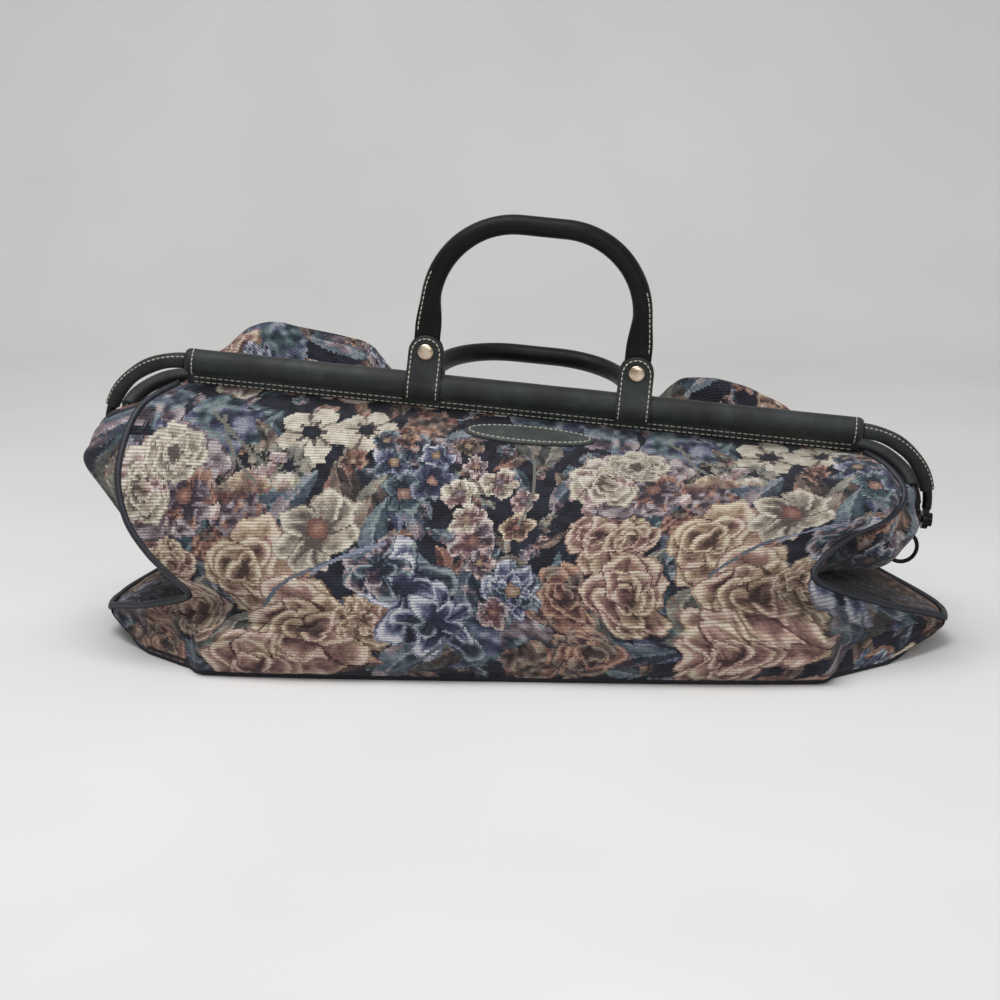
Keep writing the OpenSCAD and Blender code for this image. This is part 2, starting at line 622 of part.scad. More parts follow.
module front_handle() { on_front_handle() handle(); }
module front_left_handle_tab() { on_front_handle() handle_tab(-1); }
module front_right_handle_tab() { on_front_handle() handle_tab(1); }
module front_left_rivet() { on_front_handle() rivet(-1); }
module front_right_rivet() { on_front_handle() rivet(1); }
module back_handle() { on_back_handle() handle(); }
module back_left_handle_tab() { on_back_handle() handle_tab(-1); }
module back_right_handle_tab() { on_back_handle() handle_tab(1); }
module back_left_rivet() { on_back_handle() rivet(-1); }
module back_right_rivet() { on_back_handle() rivet(1); }

front_panel();
back_panel();
left_end_panel();
right_end_panel();
base_panel();
base_board();
left_piping();
right_piping();
left_chape();
right_chape();
left_hinge_spacer();
right_hinge_spacer();
left_hinge_pin();
right_hinge_pin();
left_ring();
right_ring();
leather_patch();
front_dowel();
front_bar_sleeve();
front_left_arm();
front_right_arm();
front_left_arm_cover();
front_right_arm_cover();
back_dowel();
back_bar_sleeve();
back_left_arm();
back_right_arm();
back_left_arm_cover();
back_right_arm_cover();
front_handle();
front_left_handle_tab();
front_right_handle_tab();
front_left_rivet();
front_right_rivet();
back_handle();
back_left_handle_tab();
back_right_handle_tab();
back_left_rivet();
back_right_rivet();
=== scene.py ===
"""The carpet bag: a tapestry body on a leather-covered frame with rolled handles, in a plain studio."""

import math

import bpy
import numpy as np
from mathutils import Matrix, Vector


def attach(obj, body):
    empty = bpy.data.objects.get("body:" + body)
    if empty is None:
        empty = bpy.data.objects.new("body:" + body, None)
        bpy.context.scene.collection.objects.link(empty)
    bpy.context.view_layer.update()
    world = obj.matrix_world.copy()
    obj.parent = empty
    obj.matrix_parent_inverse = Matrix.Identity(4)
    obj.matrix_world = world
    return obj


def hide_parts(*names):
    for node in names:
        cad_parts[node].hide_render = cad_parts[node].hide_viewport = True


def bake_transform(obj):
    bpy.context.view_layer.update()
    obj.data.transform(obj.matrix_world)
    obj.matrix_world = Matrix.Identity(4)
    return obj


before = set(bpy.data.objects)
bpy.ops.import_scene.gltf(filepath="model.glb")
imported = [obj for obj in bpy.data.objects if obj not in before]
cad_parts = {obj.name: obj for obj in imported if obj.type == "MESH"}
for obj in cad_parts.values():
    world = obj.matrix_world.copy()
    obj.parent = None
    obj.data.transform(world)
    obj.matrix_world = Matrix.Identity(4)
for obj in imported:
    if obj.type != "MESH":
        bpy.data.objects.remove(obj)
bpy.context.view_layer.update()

MM = 0.001
SIDES = {"left": -1, "right": 1}

# Sizes of the solids, in millimetres and degrees
BODY_L, BODY_D, HINGE_H = 600, 264, 120
PANEL_T, BASE_T, PIPING_R, SEAT_GAP = 2, 3, 2.5, 0.3
BAR_L, BAR_R, ARM_L = 490, 9.5, 64
ARM_BEND_R, ARM_COVER_R, ARM_STEP, COVER_STOP = 55, 5.5, 5.7, 16
FRONT_LEAN, BACK_LEAN, FRAME_SLOPE = 11.5, 50, 5.5
FLANGE_H, FLANGE_T, FLANGE_END = 6.5, 5.6, 2
HANDLE_SPAN, HANDLE_H, GRIP_R, HANDLE_BEND_R = 152, 122, 7.2, 60
HANDLE_END_W, HANDLE_END_T, HANDLE_FROM, HANDLE_FLAT_TO = 19, 5, 19, 42
TAB_W, TAB_T, TAB_H, TAB_CLOSE_H, TAB_IN_R = 25, 2.4, 37, 18, 9.7
RIVET_H, RIVET_R, BACK_HANDLE_FALL, HANDLE_SHIFT = 25, 6, 79.5, 3.6
PATCH_H, PATCH_T, CHAPE_X = 23, 1.8, 268.3
LEFT_HUMP, RIGHT_HUMP, PUFF_LIFT = 56, 6, 0.3

# Sizes that depart from the solids: the patch, and how far the slack top of each end panel puffs out
PATCH_L, PATCH_X = 93, 10.5
PUFF = {-1: 37, 1: 20}

HALF_L, HALF_D = BODY_L / 2, BODY_D / 2
FLOOR_Z = BASE_T + SEAT_GAP
MOUTH_R = BAR_R + FLANGE_H
END_RISE = HALF_L * math.tan(math.radians(FRAME_SLOPE))
# How much of a panel's half length or depth its seam takes
SEAM_ALLOWANCE = 1.6


def sind(a):
    return math.sin(math.radians(a))


def cosd(a):
    return math.cos(math.radians(a))


def smooth(u):
    k = np.clip(u, 0, 1)
    return k * k * (3 - 2 * k)


def mix(a, b, k):
    return a + (b - a) * k


def bell(u):
    k = 1 - np.minimum(u * u, 1)
    return k * k


def within(n, span):
    """1 between the span's middle two values, falling smoothly to 0 at its ends."""
    start, full, down, end = span
    return smooth((n - start) / (full - start)) * smooth((end - n) / (end - down))


def curve(points, t):
    """Catmull-Rom curve through the points, at t from 0 to the last index."""
    p = np.asarray(points, float)
    n = len(p) - 1
    i = np.clip(np.floor(t).astype(int), 0, n - 1)
    u = (t - i)[..., None]
    a, b, c, d = p[np.maximum(i - 1, 0)], p[i], p[i + 1], p[np.minimum(i + 2, n)]
    return 0.5 * (2 * b + (c - a) * u + (2 * a - 5 * b + 4 * c - d) * u**2 + (3 * b - a - 3 * c + d) * u**3)


def turned(p):
    """Points turned with the sloping frame, about the hinge."""
    p = np.asarray(p, float)
    x, y, z = p[..., 0], p[..., 1], p[..., 2] - HINGE_H
    c, s = cosd(FRAME_SLOPE), sind(FRAME_SLOPE)
    return np.stack([x * c + z * s, y, HINGE_H - x * s + z * c], -1)


# Where the panels meet the bars, as (y, z) with the frame level
FRONT_BAR = np.array([-ARM_L * sind(FRONT_LEAN), HINGE_H + ARM_L * cosd(FRONT_LEAN)])
BACK_BAR = np.array([ARM_L * sind(BACK_LEAN), HINGE_H + ARM_L * cosd(BACK_LEAN)])
FRONT_DOWN, BACK_DOWN = np.array([sind(FRONT_LEAN), -cosd(FRONT_LEAN)]), np.array([0, -1.0])
FRONT_OUT, BACK_OUT = np.array([-cosd(FRONT_LEAN), -sind(FRONT_LEAN)]), np.array([1.0, 0])
MOUTH_GAP = 0.6
FRONT_MOUTH = FRONT_BAR + FRONT_OUT * PANEL_T / 2 + (MOUTH_R + MOUTH_GAP) * FRONT_DOWN
BACK_MOUTH = BACK_BAR + np.array([PANEL_T / 2, -MOUTH_R - MOUTH_GAP])


def profile(shares, mouth, sign):
    """A middle line of a long panel, as (y, z), from shares of half the depth and of the way to the mouth."""
    line = [(sign * y * HALF_D, FLOOR_Z + z * (mouth[1] - FLOOR_Z)) for y, z in shares]
    return np.array(line + [tuple(mouth)])


FRONT_MID = profile([(0.90, 0), (0.955, 0.06), (0.977, 0.135), (0.985, 0.225), (0.97, 0.335), (0.932, 0.445),
                     (0.856, 0.56), (0.735, 0.683), (0.56, 0.8), (0.333, 0.916)], FRONT_MOUTH, -1)
BACK_MID = profile([(0.90, 0), (0.955, 0.077), (0.99, 0.17), (1, 0.335), (0.977, 0.493), (0.924, 0.65),
                    (0.848, 0.78), (0.72, 0.88), (0.568, 0.918), (0.43, 0.94)], BACK_MOUTH, 1)
BACK_HUMP = profile([(0.90, 0), (0.97, 0.12), (1, 0.28), (1.02, 0.47), (1.02, 0.7), (0.98, 0.94),
                     (0.89, 1.16), (0.74, 1.27), (0.6, 1.12), (0.47, 0.96)], BACK_MOUTH, 1)
# Where the humps start, stand and end from the middle to a seam, and each row's share of their lift
LEFT_SPAN, RIGHT_SPAN, LIFT_SPAN = (0.15, 0.45, 0.76, 0.97), (0.3, 0.5, 0.76, 0.97), (0.15, 0.85, 0.9, 1)
LIFT_ROWS = [0, 0, 0, 0, 0.1, 0.45, 0.9, 1, 0.85, 0.06, 0]

# Seams as shares: length, what the slumped right end adds, depth, height and rise to the left
FRONT_SEAM = [(0.883, 0.01, -0.5, 0, 0), (0.972, 0.02, -0.3, 0.1, 0), (1.018, 0.025, -0.14, 0.175, 0),
              (0.873, 0, -0.46, 0.333, -0.14), (0.733, -0.02, -0.71, 0.5, -0.28),
              (0.753, -0.033, -0.735, 0.617, -0.28), (0.82, -0.027, -0.72, 0.758, -0.24),
              (0.893, -0.007, -0.67, 0.9, 0), (0.922, 0, -0.555, 1.09, 0.31), (0.89, 0, -0.32, 1.3, 0.69)]
BACK_SEAM = [(0.883, 0.01, 0.5, 0, 0), (0.972, 0.02, 0.3, 0.1, 0), (1.018, 0.025, 0.14, 0.175, 0),
             (0.88, 0, 0.485, 0.333, -0.07), (0.757, -0.017, 0.73, 0.49, -0.1),
             (0.78, -0.027, 0.79, 0.617, -0.07), (0.837, -0.023, 0.8, 0.75, 0),
             (0.893, -0.013, 0.76, 0.892, 0.17), (0.913, -0.007, 0.66, 1.05, 0.48),
             (0.883, 0, 0.49, 1.19, 0.8)]
END_LOW = [(0.963, 0.01, 0, 0, 0), (1, 0.02, 0, 0.1, 0), (1.025, 0.025, 0, 0.175, 0)]
# The middle of an end panel in its deep fold, further in than in the solids
END_HIGH = [(0.9, 0.01, 0, 0.32, 0), (0.74, -0.015, 0, 0.46, 0), (0.75, 0, 0, 0.58, 0.25),
            (0.875, 0, 0, 0.69, 0.7)]
# The same above that, as distances in from the chape and above the hinge
END_TOP = [(3, -22), (0.9, -12), (0.6, -4), (0.6, 4)]
LAST_ROW, CORNER_ROW = 10, 2
# How far back the right front seam is rolled behind the bulge, which the solids don't have, and in which rows
TUCK, TUCK_ROWS = np.array([8, 18, 24, 22, 10]), slice(5, 10)
# How far past the end of its bar a seam ends
SEAM_PAST_BAR = 3
# The fold at each corner of the base: where it starts, its width, and how far in it starts and ends
FOLD_X, FOLD_W, FOLD_START, FOLD_DEPTH = 0.72 * HALF_L, 14, 0.1, 0.43


def placed(rows, side):
    return [(side * HALF_L * (r[0] + side * r[1]), r[2] * HALF_D,
             max(FLOOR_Z, r[3] * HINGE_H) - side * r[4] * END_RISE) for r in rows]


def seam(rows, mouth, side):
    bar_end = turned([side * (BAR_L / 2 + SEAM_PAST_BAR), mouth[0], mouth[1]])
    return np.array(placed(rows, side) + [tuple(bar_end)])


def end_line(side):
    top = [tuple(turned([side * (CHAPE_X - x), 0, HINGE_H + z])) for x, z in END_TOP]
    return np.array(placed(END_LOW + END_HIGH, side) + top)


FRONT_SEAMS = {side: seam(FRONT_SEAM, FRONT_MOUTH, side) for side in (-1, 1)}
FRONT_SEAMS[1][TUCK_ROWS, 1] += TUCK
BACK_SEAMS = {side: seam(BACK_SEAM, BACK_MOUTH, side) for side in (-1, 1)}
END_LINES = {side: end_line(side) for side in (-1, 1)}


def side_share(s, v, reach):
    """How far a point at share s of the way to its seam has left the middle line, with the corner's fold."""
    k = s**4
    start = FOLD_X / reach
    stop = start + FOLD_W / reach
    fold = np.where(s < start, FOLD_START * (s / start)**4,
                    np.where(s < stop, mix(FOLD_START, FOLD_DEPTH, smooth((s - start) / (stop - start))),
                             mix(FOLD_DEPTH, 1, (s - stop) / (1 - stop))))
    return np.where(reach > FOLD_X + 3 * FOLD_W, mix(fold, k, smooth((v - CORNER_ROW - 0.4) / 1.2)), k)


def between(seams, middle, s, v):
    """A point of a long panel. s runs from -1 at the left seam to 1 at the right one, and v up its rows."""
    left, right = curve(seams[-1], v), curve(seams[1], v)
    reach = np.abs(np.where(s < 0, left[..., 0], right[..., 0]))
    k = side_share(np.abs(s), v, reach)
    edge_y = np.where(s < 0, left[..., 1], right[..., 1])
    z = middle[..., 1] + s * (right[..., 2] - left[..., 2]) / 2
    z = z + k * ((right[..., 2] + left[..., 2]) / 2 - middle[..., 1])
    return np.stack([mix(left[..., 0], right[..., 0], (s + 1) / 2), mix(middle[..., 0], edge_y, k), z], -1)


def front_at(s, v):
    return between(FRONT_SEAMS, curve(FRONT_MID, v), s, v)


def back_at(s, v):
    """A point of the back panel, with the slack humps that stand up behind the bar."""
    n = np.abs(s)
    hump = np.where(s < 0, within(n, LEFT_SPAN), within(n, RIGHT_SPAN))[..., None]
    points = between(BACK_SEAMS, mix(curve(BACK_MID, v), curve(BACK_HUMP, v), hump), s, v)
    lift = np.where(s < 0, LEFT_HUMP, RIGHT_HUMP) * within(n, LIFT_SPAN)
    points[..., 2] += lift * np.interp(v, np.arange(LAST_ROW + 1), LIFT_ROWS)
    return points


def end_at(side, q, v):
    """A point of an end panel. q runs from -1 at the front seam to 1 at the back seam."""
    puff = PUFF[side] * bell((q + 0.62) / 0.36) * bell((v - 7.8) / 2.3)
    f, b, m = curve(FRONT_SEAMS[side], v), curve(BACK_SEAMS[side], v), curve(END_LINES[side], v)
    k = 1 - np.abs(q)**mix(2, 4, smooth((v - CORNER_ROW) / 2))
    points = mix(f, b, ((q + 1) / 2)[..., None]) + k[..., None] * (m - (f + b) / 2)
    return points + puff[..., None] * np.array([side, 0, PUFF_LIFT])


def lattice(i, j, seed):
    """A repeatable number from 0 to 1 for each pair of whole numbers."""
    h = np.sin(i * 127.1 + j * 311.7 + seed * 74.7) * 43758.5453
    return h - np.floor(h)


def noise(x, y, seed=0):
    """Smooth noise from -1 to 1 on a unit lattice."""
    i, j = np.floor(x), np.floor(y)
    a, b = smooth(x - i), smooth(y - j)
    low = mix(lattice(i, j, seed), lattice(i + 1, j, seed), a)
    high = mix(lattice(i, j + 1, seed), lattice(i + 1, j + 1, seed), a)
    return 2 * mix(low, high, b) - 1


def colour(code):
    """Linear colour of a hex code."""
    c = np.array([int(code[i:i + 2], 16) / 255 for i in (1, 3, 5)])
    return np.where(c <= 0.04045, c / 12.92, ((c + 0.055) / 1.055)**2.4)


# How far the yarns have faded towards grey, and how much they are dimmed
FADE, DIM = 0.24, 0.86


def yarn_steps(codes, between=3):
    """Steps of one yarn from shadow to light, a little faded, with mixed steps between those named."""
    named = np.array([colour(c) for c in codes.split()])
    at = np.linspace(0, len(named) - 1, between * (len(named) - 1) + 1)
    steps = np.stack([np.interp(at, np.arange(len(named)), named[:, i]) for i in range(3)], -1)
    return DIM * mix(steps, steps.mean(1, keepdims=True), FADE)


# Yarns of the tapestry, each from shadow to light
YARNS = {name: yarn_steps(codes) for name, codes in {
    "ground": "#181922 #1f202b #272836 #302f40",
    "cream": "#5a4a44 #8f8070 #b9ab94 #d6cab2 #e6decb",
    "ivory": "#5a4e4a #8d8072 #b6a994 #cdc1ab #ddd4c1",
    "blush": "#5b3c44 #8c6668 #b3938f #cdb6ae #dfd0c4",
    "pink": "#432d30 #704c49 #9b7267 #c09a88 #decab2",
    "gold": "#463430 #785c4c #9e8166 #c0a688 #dccbae",
    "rust": "#3d2a2e #66433f #8c5f51 #ab7e69 #c49d84",
    "mauve": "#352d3b #584852 #7b6a72 #9c8c92 #b9abad",
    "iris": "#2c2f46 #4b5070 #757a98 #a0a3b6 #cfcfd6",
    "slate": "#222836 #36404f #4e5a6a #6f7c88 #97a2a8",
    "teal": "#1f2a35 #2f414c #445a64 #63787e #8b9896",
    "sage": "#2e2e32 #4c4c4a #6c6b64 #8f8b7f #b3ad9b",
    "brown": "#2c2528 #483a39 #64514b #836e62 #a18c7b",
    "violet": "#232538 #343850 #4a4f6c #6a6f8a #9598a8",
}.items()}
# The repeat along and up the cloth, how far its rows rise along the bag, and the size of one stitch
REPEAT_U, REPEAT_W, TILT, STITCH = 322.0, 330.0, 0.045, 1.1

# A second yarn that runs through each in patches
PARTNERS = {"pink": "gold", "gold": "pink", "rust": "brown", "cream": "blush", "blush": "mauve",
            "mauve": "rust", "iris": "slate", "slate": "mauve", "teal": "slate", "sage": "brown",
            "brown": "rust", "violet": "teal", "ground": "ground", "ivory": "ivory"}


# Flowers of petals: how light their rims are, how pointed and how much darker they are, and their rings, with
# the outermost first. A ring is its count of petals, how far out they are, and half their length and width.
BLOOMS = {
    "rose": (0.44, 0, 0, [(7, 0.56, 0.42, 0.42), (5, 0.33, 0.36, 0.36), (4, 0.15, 0.26, 0.24)]),
    "peony": (0.4, 0, 0, [(8, 0.6, 0.4, 0.34), (8, 0.42, 0.34, 0.2), (6, 0.2, 0.26, 0.16)]),
    "anemone": (0.42, 0.5, 0, [(7, 0.5, 0.5, 0.36)]),
    "floret": (0.44, 0, 0, [(5, 0.5, 0.46, 0.42)]),
    "iris": (0.62, 0, 0.12, [(5, 0.5, 0.5, 0.28), (4, 0.3, 0.36, 0.2)]),
}


def bloom(x, y, seed, rim, point, darker, rings):
    """Rings of overlapping petals: dark at the foot, streaked, and light along the rim."""
    x, y = x + 0.13 * noise(3 * x + seed, 3 * y, seed), y + 0.13 * noise(3 * x, 3 * y + seed, seed + 1)
    inside, tone = np.zeros(x.shape, bool), np.zeros(x.shape)
    for ring, (count, out, long, wide) in enumerate(rings):
        for k in range(count):
            size = 1 + 0.36 * (lattice(k, ring, seed) - 0.5)
            a = 2 * math.pi * (k + 0.5 * ring) / count + seed + 0.5 * lattice(ring, k, seed)
            along = (x * math.cos(a) + y * math.sin(a) - out) / (long * size)
            across = (y * math.cos(a) - x * math.sin(a)) / (wide * size)
            d = np.hypot(along, across / (1 - point * np.clip(along, 0, 1)))
            streak = noise(3.5 * across + 5 * k + seed, 1.3 * along, seed + k)
            shade = 0.27 + 0.32 * along + rim * smooth((d - 0.5) / 0.3) * (along > -0.4) + 0.32 * streak
            tone = np.where(d < 1, shade - 0.5 * (d > 0.9) + 0.12 * y, tone)
            inside |= d < 1
    return inside, tone - darker


def pansy(x, y, seed):
    """Five broad petals with a dark star-shaped blotch."""
    r, a = np.hypot(x, y), np.arctan2(y, x)
    r = r * (1 + 0.10 * noise(4 * x + seed, 4 * y, seed))
    wave = np.abs(np.cos(2.5 * a + seed))
    blotch = 0.10 + 0.38 * np.abs(np.sin(2.5 * a + seed + 1.57))**3
    tone = 0.34 + 0.3 * wave + 0.3 * r - 0.4 * (wave < 0.24) + 0.3 * noise(5 * x, 5 * y, seed)
    return r < 0.66 + 0.34 * wave**0.5, np.where(r < blotch, -1, tone)


def leaf(x, y, seed):
    """A long pointed leaf, lighter on one side of its rib."""
    bow = y + 0.18 * x * x - 0.06 * np.sin(3 * x + seed)
    half = 0.34 * np.clip(1 - x * x, 0, 1)**0.8
    vein = noise(5 * (x + np.abs(bow)) + seed, 2 * bow, seed)
    tone = np.where(bow > 0, 0.62, 0.30) + 0.30 * vein + 0.3 * (np.abs(bow) < 0.035)
    return np.abs(bow) < half, tone


def tuft(x, y, seed):
    """A loose head of many small petals."""
    r, a = np.hypot(x, y), np.arctan2(y, x)
    speck = noise(6 * x + seed, 6 * y, seed)
    return r < 0.86 + 0.22 * noise(2.5 * np.cos(a) + seed, 2.5 * np.sin(a), seed), 0.5 + 0.55 * speck


def bud(x, y, seed):
    """A small oval, light on top."""
    r = np.hypot(x, y / 0.72)
    return r < 1, 0.55 + 0.5 * y + 0.25 * noise(3 * x, 3 * y, seed)


SHAPES = {f.__name__: f for f in (pansy, leaf, tuft, bud)}

# The repeat, back to front: shape, yarn, place along and up the cloth, radius, and any turn and heart yarn
MOTIFS = [
    ("tuft", "violet", 117, 200, 30), ("tuft", "slate", 60, 215, 30), ("tuft", "violet", 20, 218, 34),
    ("tuft", "slate", 330, 30, 30), ("tuft", "rust", 261, 211, 20), ("tuft", "violet", 285, 45, 34),
    ("leaf", "teal", 96, 124, 27, -60), ("leaf", "teal", 106, 116, 25, -110),
    ("leaf", "slate", 118, 100, 22, -80), ("leaf", "teal", 158, 150, 24, 20),
    ("leaf", "slate", 172, 145, 26, 60), ("leaf", "sage", 216, 140, 27, 105),
    ("leaf", "sage", 228, 136, 30, 80), ("leaf", "brown", 206, 150, 22, 120),
    ("leaf", "sage", 12, 195, 26, -55), ("leaf", "sage", 26, 186, 24, -100),
    ("leaf", "slate", 40, 150, 24, 60), ("leaf", "slate", 296, 205, 26, 20),
    ("leaf", "teal", 236, 112, 30, 95), ("leaf", "slate", 168, 84, 34, 35),
    ("leaf", "sage", 268, 24, 32, 28), ("leaf", "slate", 240, 16, 34, 40), ("leaf", "sage", 60, 34, 26, 75),
    ("leaf", "teal", 112, 60, 30, 95), ("leaf", "sage", 104, 70, 26, 70), ("leaf", "sage", 128, 46, 28, 50),
    ("leaf", "slate", 78, 18, 26, 20), ("leaf", "brown", 205, 22, 26), ("leaf", "sage", 150, 190, 18, -70),
    ("leaf", "slate", 306, 84, 26, 70), ("tuft", "mauve", 138, 138, 21), ("tuft", "rust", 120, 116, 14),
    ("rose", "pink", 72, 106, 30), ("rose", "gold", 92, 102, 18), ("rose", "rust", 46, 62, 27),
    ("rose", "gold", 93, 60, 31), ("tuft", "brown", 10, 14, 22), ("rose", "brown", 48, 22, 25),
    ("rose", "brown", 178, 104, 24), ("rose", "gold", 148, 96, 37), ("rose", "pink", 184, 50, 44),
    ("rose", "pink", 140, 18, 36), ("peony", "gold", 224, 54, 25), ("iris", "iris", 258, 76, 44),
    ("iris", "iris", 276, 50, 36, 40), ("iris", "slate", 240, 92, 26, 80),
    ("peony", "iris", 12, 70, 22, 0, "gold"), ("floret", "blush", 316, 56, 14, 0, "rust"),
    ("peony", "blush", 88, 156, 42), ("anemone", "mauve", 98, 150, 24, 20, "rust"),
    ("rose", "cream", 64, 156, 26), ("rose", "ivory", 88, 178, 22),
    ("anemone", "ivory", 195, 122, 32, 0, "rust"), ("pansy", "ivory", 181, 196, 25, 0, "ground"),
    ("pansy", "ivory", 219, 200, 21, 40, "ground"), ("pansy", "sage", 168, 170, 17, 80, "ground"),
    ("pansy", "sage", 150, 176, 12, 20), ("floret", "rust", 212, 172, 12, 0, "gold"),
    ("floret", "iris", 241, 172, 16, 0, "gold"), ("floret", "slate", 254, 184, 16, 30, "blush"),
    ("floret", "teal", 250, 146, 18, 10, "pink"), ("floret", "violet", 268, 156, 17, 50, "pink"),
    ("floret", "iris", 270, 178, 13, 20, "gold"), ("floret", "rust", 246, 194, 12, 0, "gold"),
    ("floret", "slate", 234, 190, 11, 0, "gold"), ("floret", "rust", 292, 190, 11, 0, "gold"),
    ("floret", "cream", 288, 146, 14, 0, "mauve"), ("floret", "cream", 315, 156, 14, 30, "mauve"),
    ("floret", "blush", 298, 170, 10, 30, "gold"), ("floret", "blush", 10, 140, 11, 0, "mauve"),
    ("floret", "blush", 304, 108, 18, 0, "rust"), ("floret", "cream", 296, 126, 13, 0, "gold"),
    ("floret", "blush", 312, 92, 12, 20, "gold"), ("floret", "gold", 332, 118, 13, 20, "rust"),
    ("bud", "blush", 152, 166, 8, 30), ("bud", "pink", 148, 156, 10, -20),
    ("bud", "cream", 166, 158, 9, 10), ("bud", "gold", 136, 158, 11, 40), ("bud", "rust", 126, 150, 9),
    ("bud", "blush", 160, 176, 7), ("rose", "pink", 60, 262, 36), ("rose", "cream", 120, 256, 30),
    ("peony", "blush", 190, 262, 36, 0, "rust"), ("rose", "gold", 250, 262, 34),
    ("pansy", "cream", 300, 250, 24), ("peony", "iris", 22, 266, 22, 0, "gold"),
    ("rose", "mauve", 150, 296, 28), ("rose", "rust", 218, 300, 28),
    ("anemone", "cream", 90, 300, 26, 0, "gold"), ("iris", "iris", 276, 302, 32),
    ("rose", "pink", 318, 300, 28), ("floret", "blush", 30, 304, 20, 0, "rust"),
]
STEMS = [("sage", (110, 208), (128, 190), (152, 170)), ("sage", (118, 206), (122, 180), (146, 158)),
         ("slate", (150, 70), (190, 100), (236, 104)), ("iris", (196, 92), (216, 104), (244, 110)),
         ("slate", (232, 8), (262, 22), (292, 46)), ("sage", (10, 120), (20, 150), (14, 190))]


FILLER_YARNS = ["slate", "violet", "mauve", "brown", "sage", "teal", "rust", "ground", "ground", "slate"]
FILLER_ROWS, FILLER_SEED, LEAF_SHARE = 20, 7, 0.72


def fillers():
    """Small leaves and tufts strewn under the main flowers."""
    rng = np.random.default_rng(FILLER_SEED)
    found = []
    for i in range(FILLER_ROWS):
        for j in range(FILLER_ROWS):
            u, w = (i + rng.random()) * REPEAT_U / FILLER_ROWS, (j + rng.random()) * REPEAT_W / FILLER_ROWS
            shape = "leaf" if rng.random() < LEAF_SHARE else "tuft"
            size = rng.uniform(11, 20) if shape == "leaf" else rng.uniform(5, 10)
            yarn = FILLER_YARNS[rng.integers(len(FILLER_YARNS))]
            found.append((shape, yarn, u, w, size, rng.uniform(0, 360)))
    return found


def yarn_colour(name, tone, u, w):
    """Whole yarns only: the tone picks a step, and neighbouring steps mix from stitch to stitch."""
    steps = YARNS[name]
    k = np.clip(tone, 0, 0.999) * len(steps) + 2.2 * (lattice(np.round(u), np.round(w), 3) - 0.5)
    return steps[np.clip(k.astype(int), 0, len(steps) - 1)]


def wrapped(d, period):
    return (d + period / 2) % period - period / 2


HEART_R = 0.24


def lay_motif(image, u, w, seed, shape, yarn, cu, cw, radius, turn=0, heart=None):
    """Weaves one motif into the image, with patches of its yarn's partner and a heart if it has one."""
    du, dw = wrapped(u - cu, REPEAT_U), wrapped(w - cw, REPEAT_W)
    near = np.flatnonzero((np.abs(du) < 1.2 * radius) & (np.abs(dw) < 1.2 * radius))
    c, s = cosd(turn), sind(turn)
    x, y = (du[near] * c + dw[near] * s) / radius, (dw[near] * c - du[near] * s) / radius
    mask, tone = bloom(x, y, seed, *BLOOMS[shape]) if shape in BLOOMS else SHAPES[shape](x, y, seed)
    tone = tone + 0.10 * noise(x * radius / 3, y * radius / 2.4, seed)
    inside = near[mask]
    image[inside] = yarn_colour(yarn, tone[mask], u[inside], w[inside])
    patch = mask & (noise(2.4 * x + 3 * seed, 2.4 * y, seed + 2) + 0.5 * noise(9 * x, 9 * y, seed) > 0.22)
    inside = near[patch]
    image[inside] = yarn_colour(PARTNERS[yarn], tone[patch], u[inside], w[inside])
    if heart:
        r = np.hypot(x, y) * (1 + 0.3 * noise(5 * x, 5 * y, seed))
        core = near[r < HEART_R]
        image[core] = yarn_colour(heart, 0.75 - 2 * r[r < HEART_R], u[core], w[core])


STEM_R, STEM_STEP = 1.2, 7


def lay_stem(image, u, w, yarn, a, b, c):
    """Weaves a thin stem that bends from a past b to c."""
    for t in np.linspace(0, 1, 90):
        p = (1 - t)**2 * np.array(a) + 2 * t * (1 - t) * np.array(b) + t * t * np.array(c)
        near = np.hypot(wrapped(u - p[0], REPEAT_U), wrapped(w - p[1], REPEAT_W)) < STEM_R
        image[near] = YARNS[yarn][STEM_STEP]


def tapestry(u, w):
    """Colours of the woven flowers at places in millimetres along and up the cloth."""
    u, w = (np.round(a.ravel() / STITCH) * STITCH for a in (u, w - TILT * u))
    image = yarn_colour("ground", 0.45 + 0.4 * noise(u / 9, w / 7, 5), u, w)
    for k, motif in enumerate(fillers() + MOTIFS):
        lay_motif(image, u, w, 1.7 * k % 11, *motif)
    for stem in STEMS:
        lay_stem(image, u, w, *stem)
    return image


def unit(a):
    return a / np.maximum(np.linalg.norm(a, axis=-1, keepdims=True), 1e-9)


def make_piece(name, points, faces, material):
    """A smooth-shaded mesh object from points in millimetres."""
    mesh = bpy.data.meshes.new(name)
    mesh.from_pydata((np.asarray(points, float).reshape(-1, 3) * MM).tolist(), [], faces)
    mesh.polygons.foreach_set("use_smooth", np.ones(len(mesh.polygons), bool))
    mesh.materials.append(material)
    piece = bpy.data.objects.new(name, mesh)
    bpy.context.scene.collection.objects.link(piece)
    return piece


def grid_faces(n, m, closed=False):
    """Quads of a grid of n rows and m columns, facing up when rows run away and columns to the right."""
    j, i = np.meshgrid(np.arange(n - 1), np.arange(m if closed else m - 1), indexing="ij")
    k = (i + 1) % m
    return np.stack([j * m + i, j * m + k, (j + 1) * m + k, (j + 1) * m + i], -1).reshape(-1, 4).tolist()


def tube_faces(n, sides):
    """Faces of a closed tube of n rings, with its two ends."""
    ends = [list(range(sides))[::-1], list(range((n - 1) * sides, n * sides))]
    return grid_faces(n, sides, closed=True) + ends


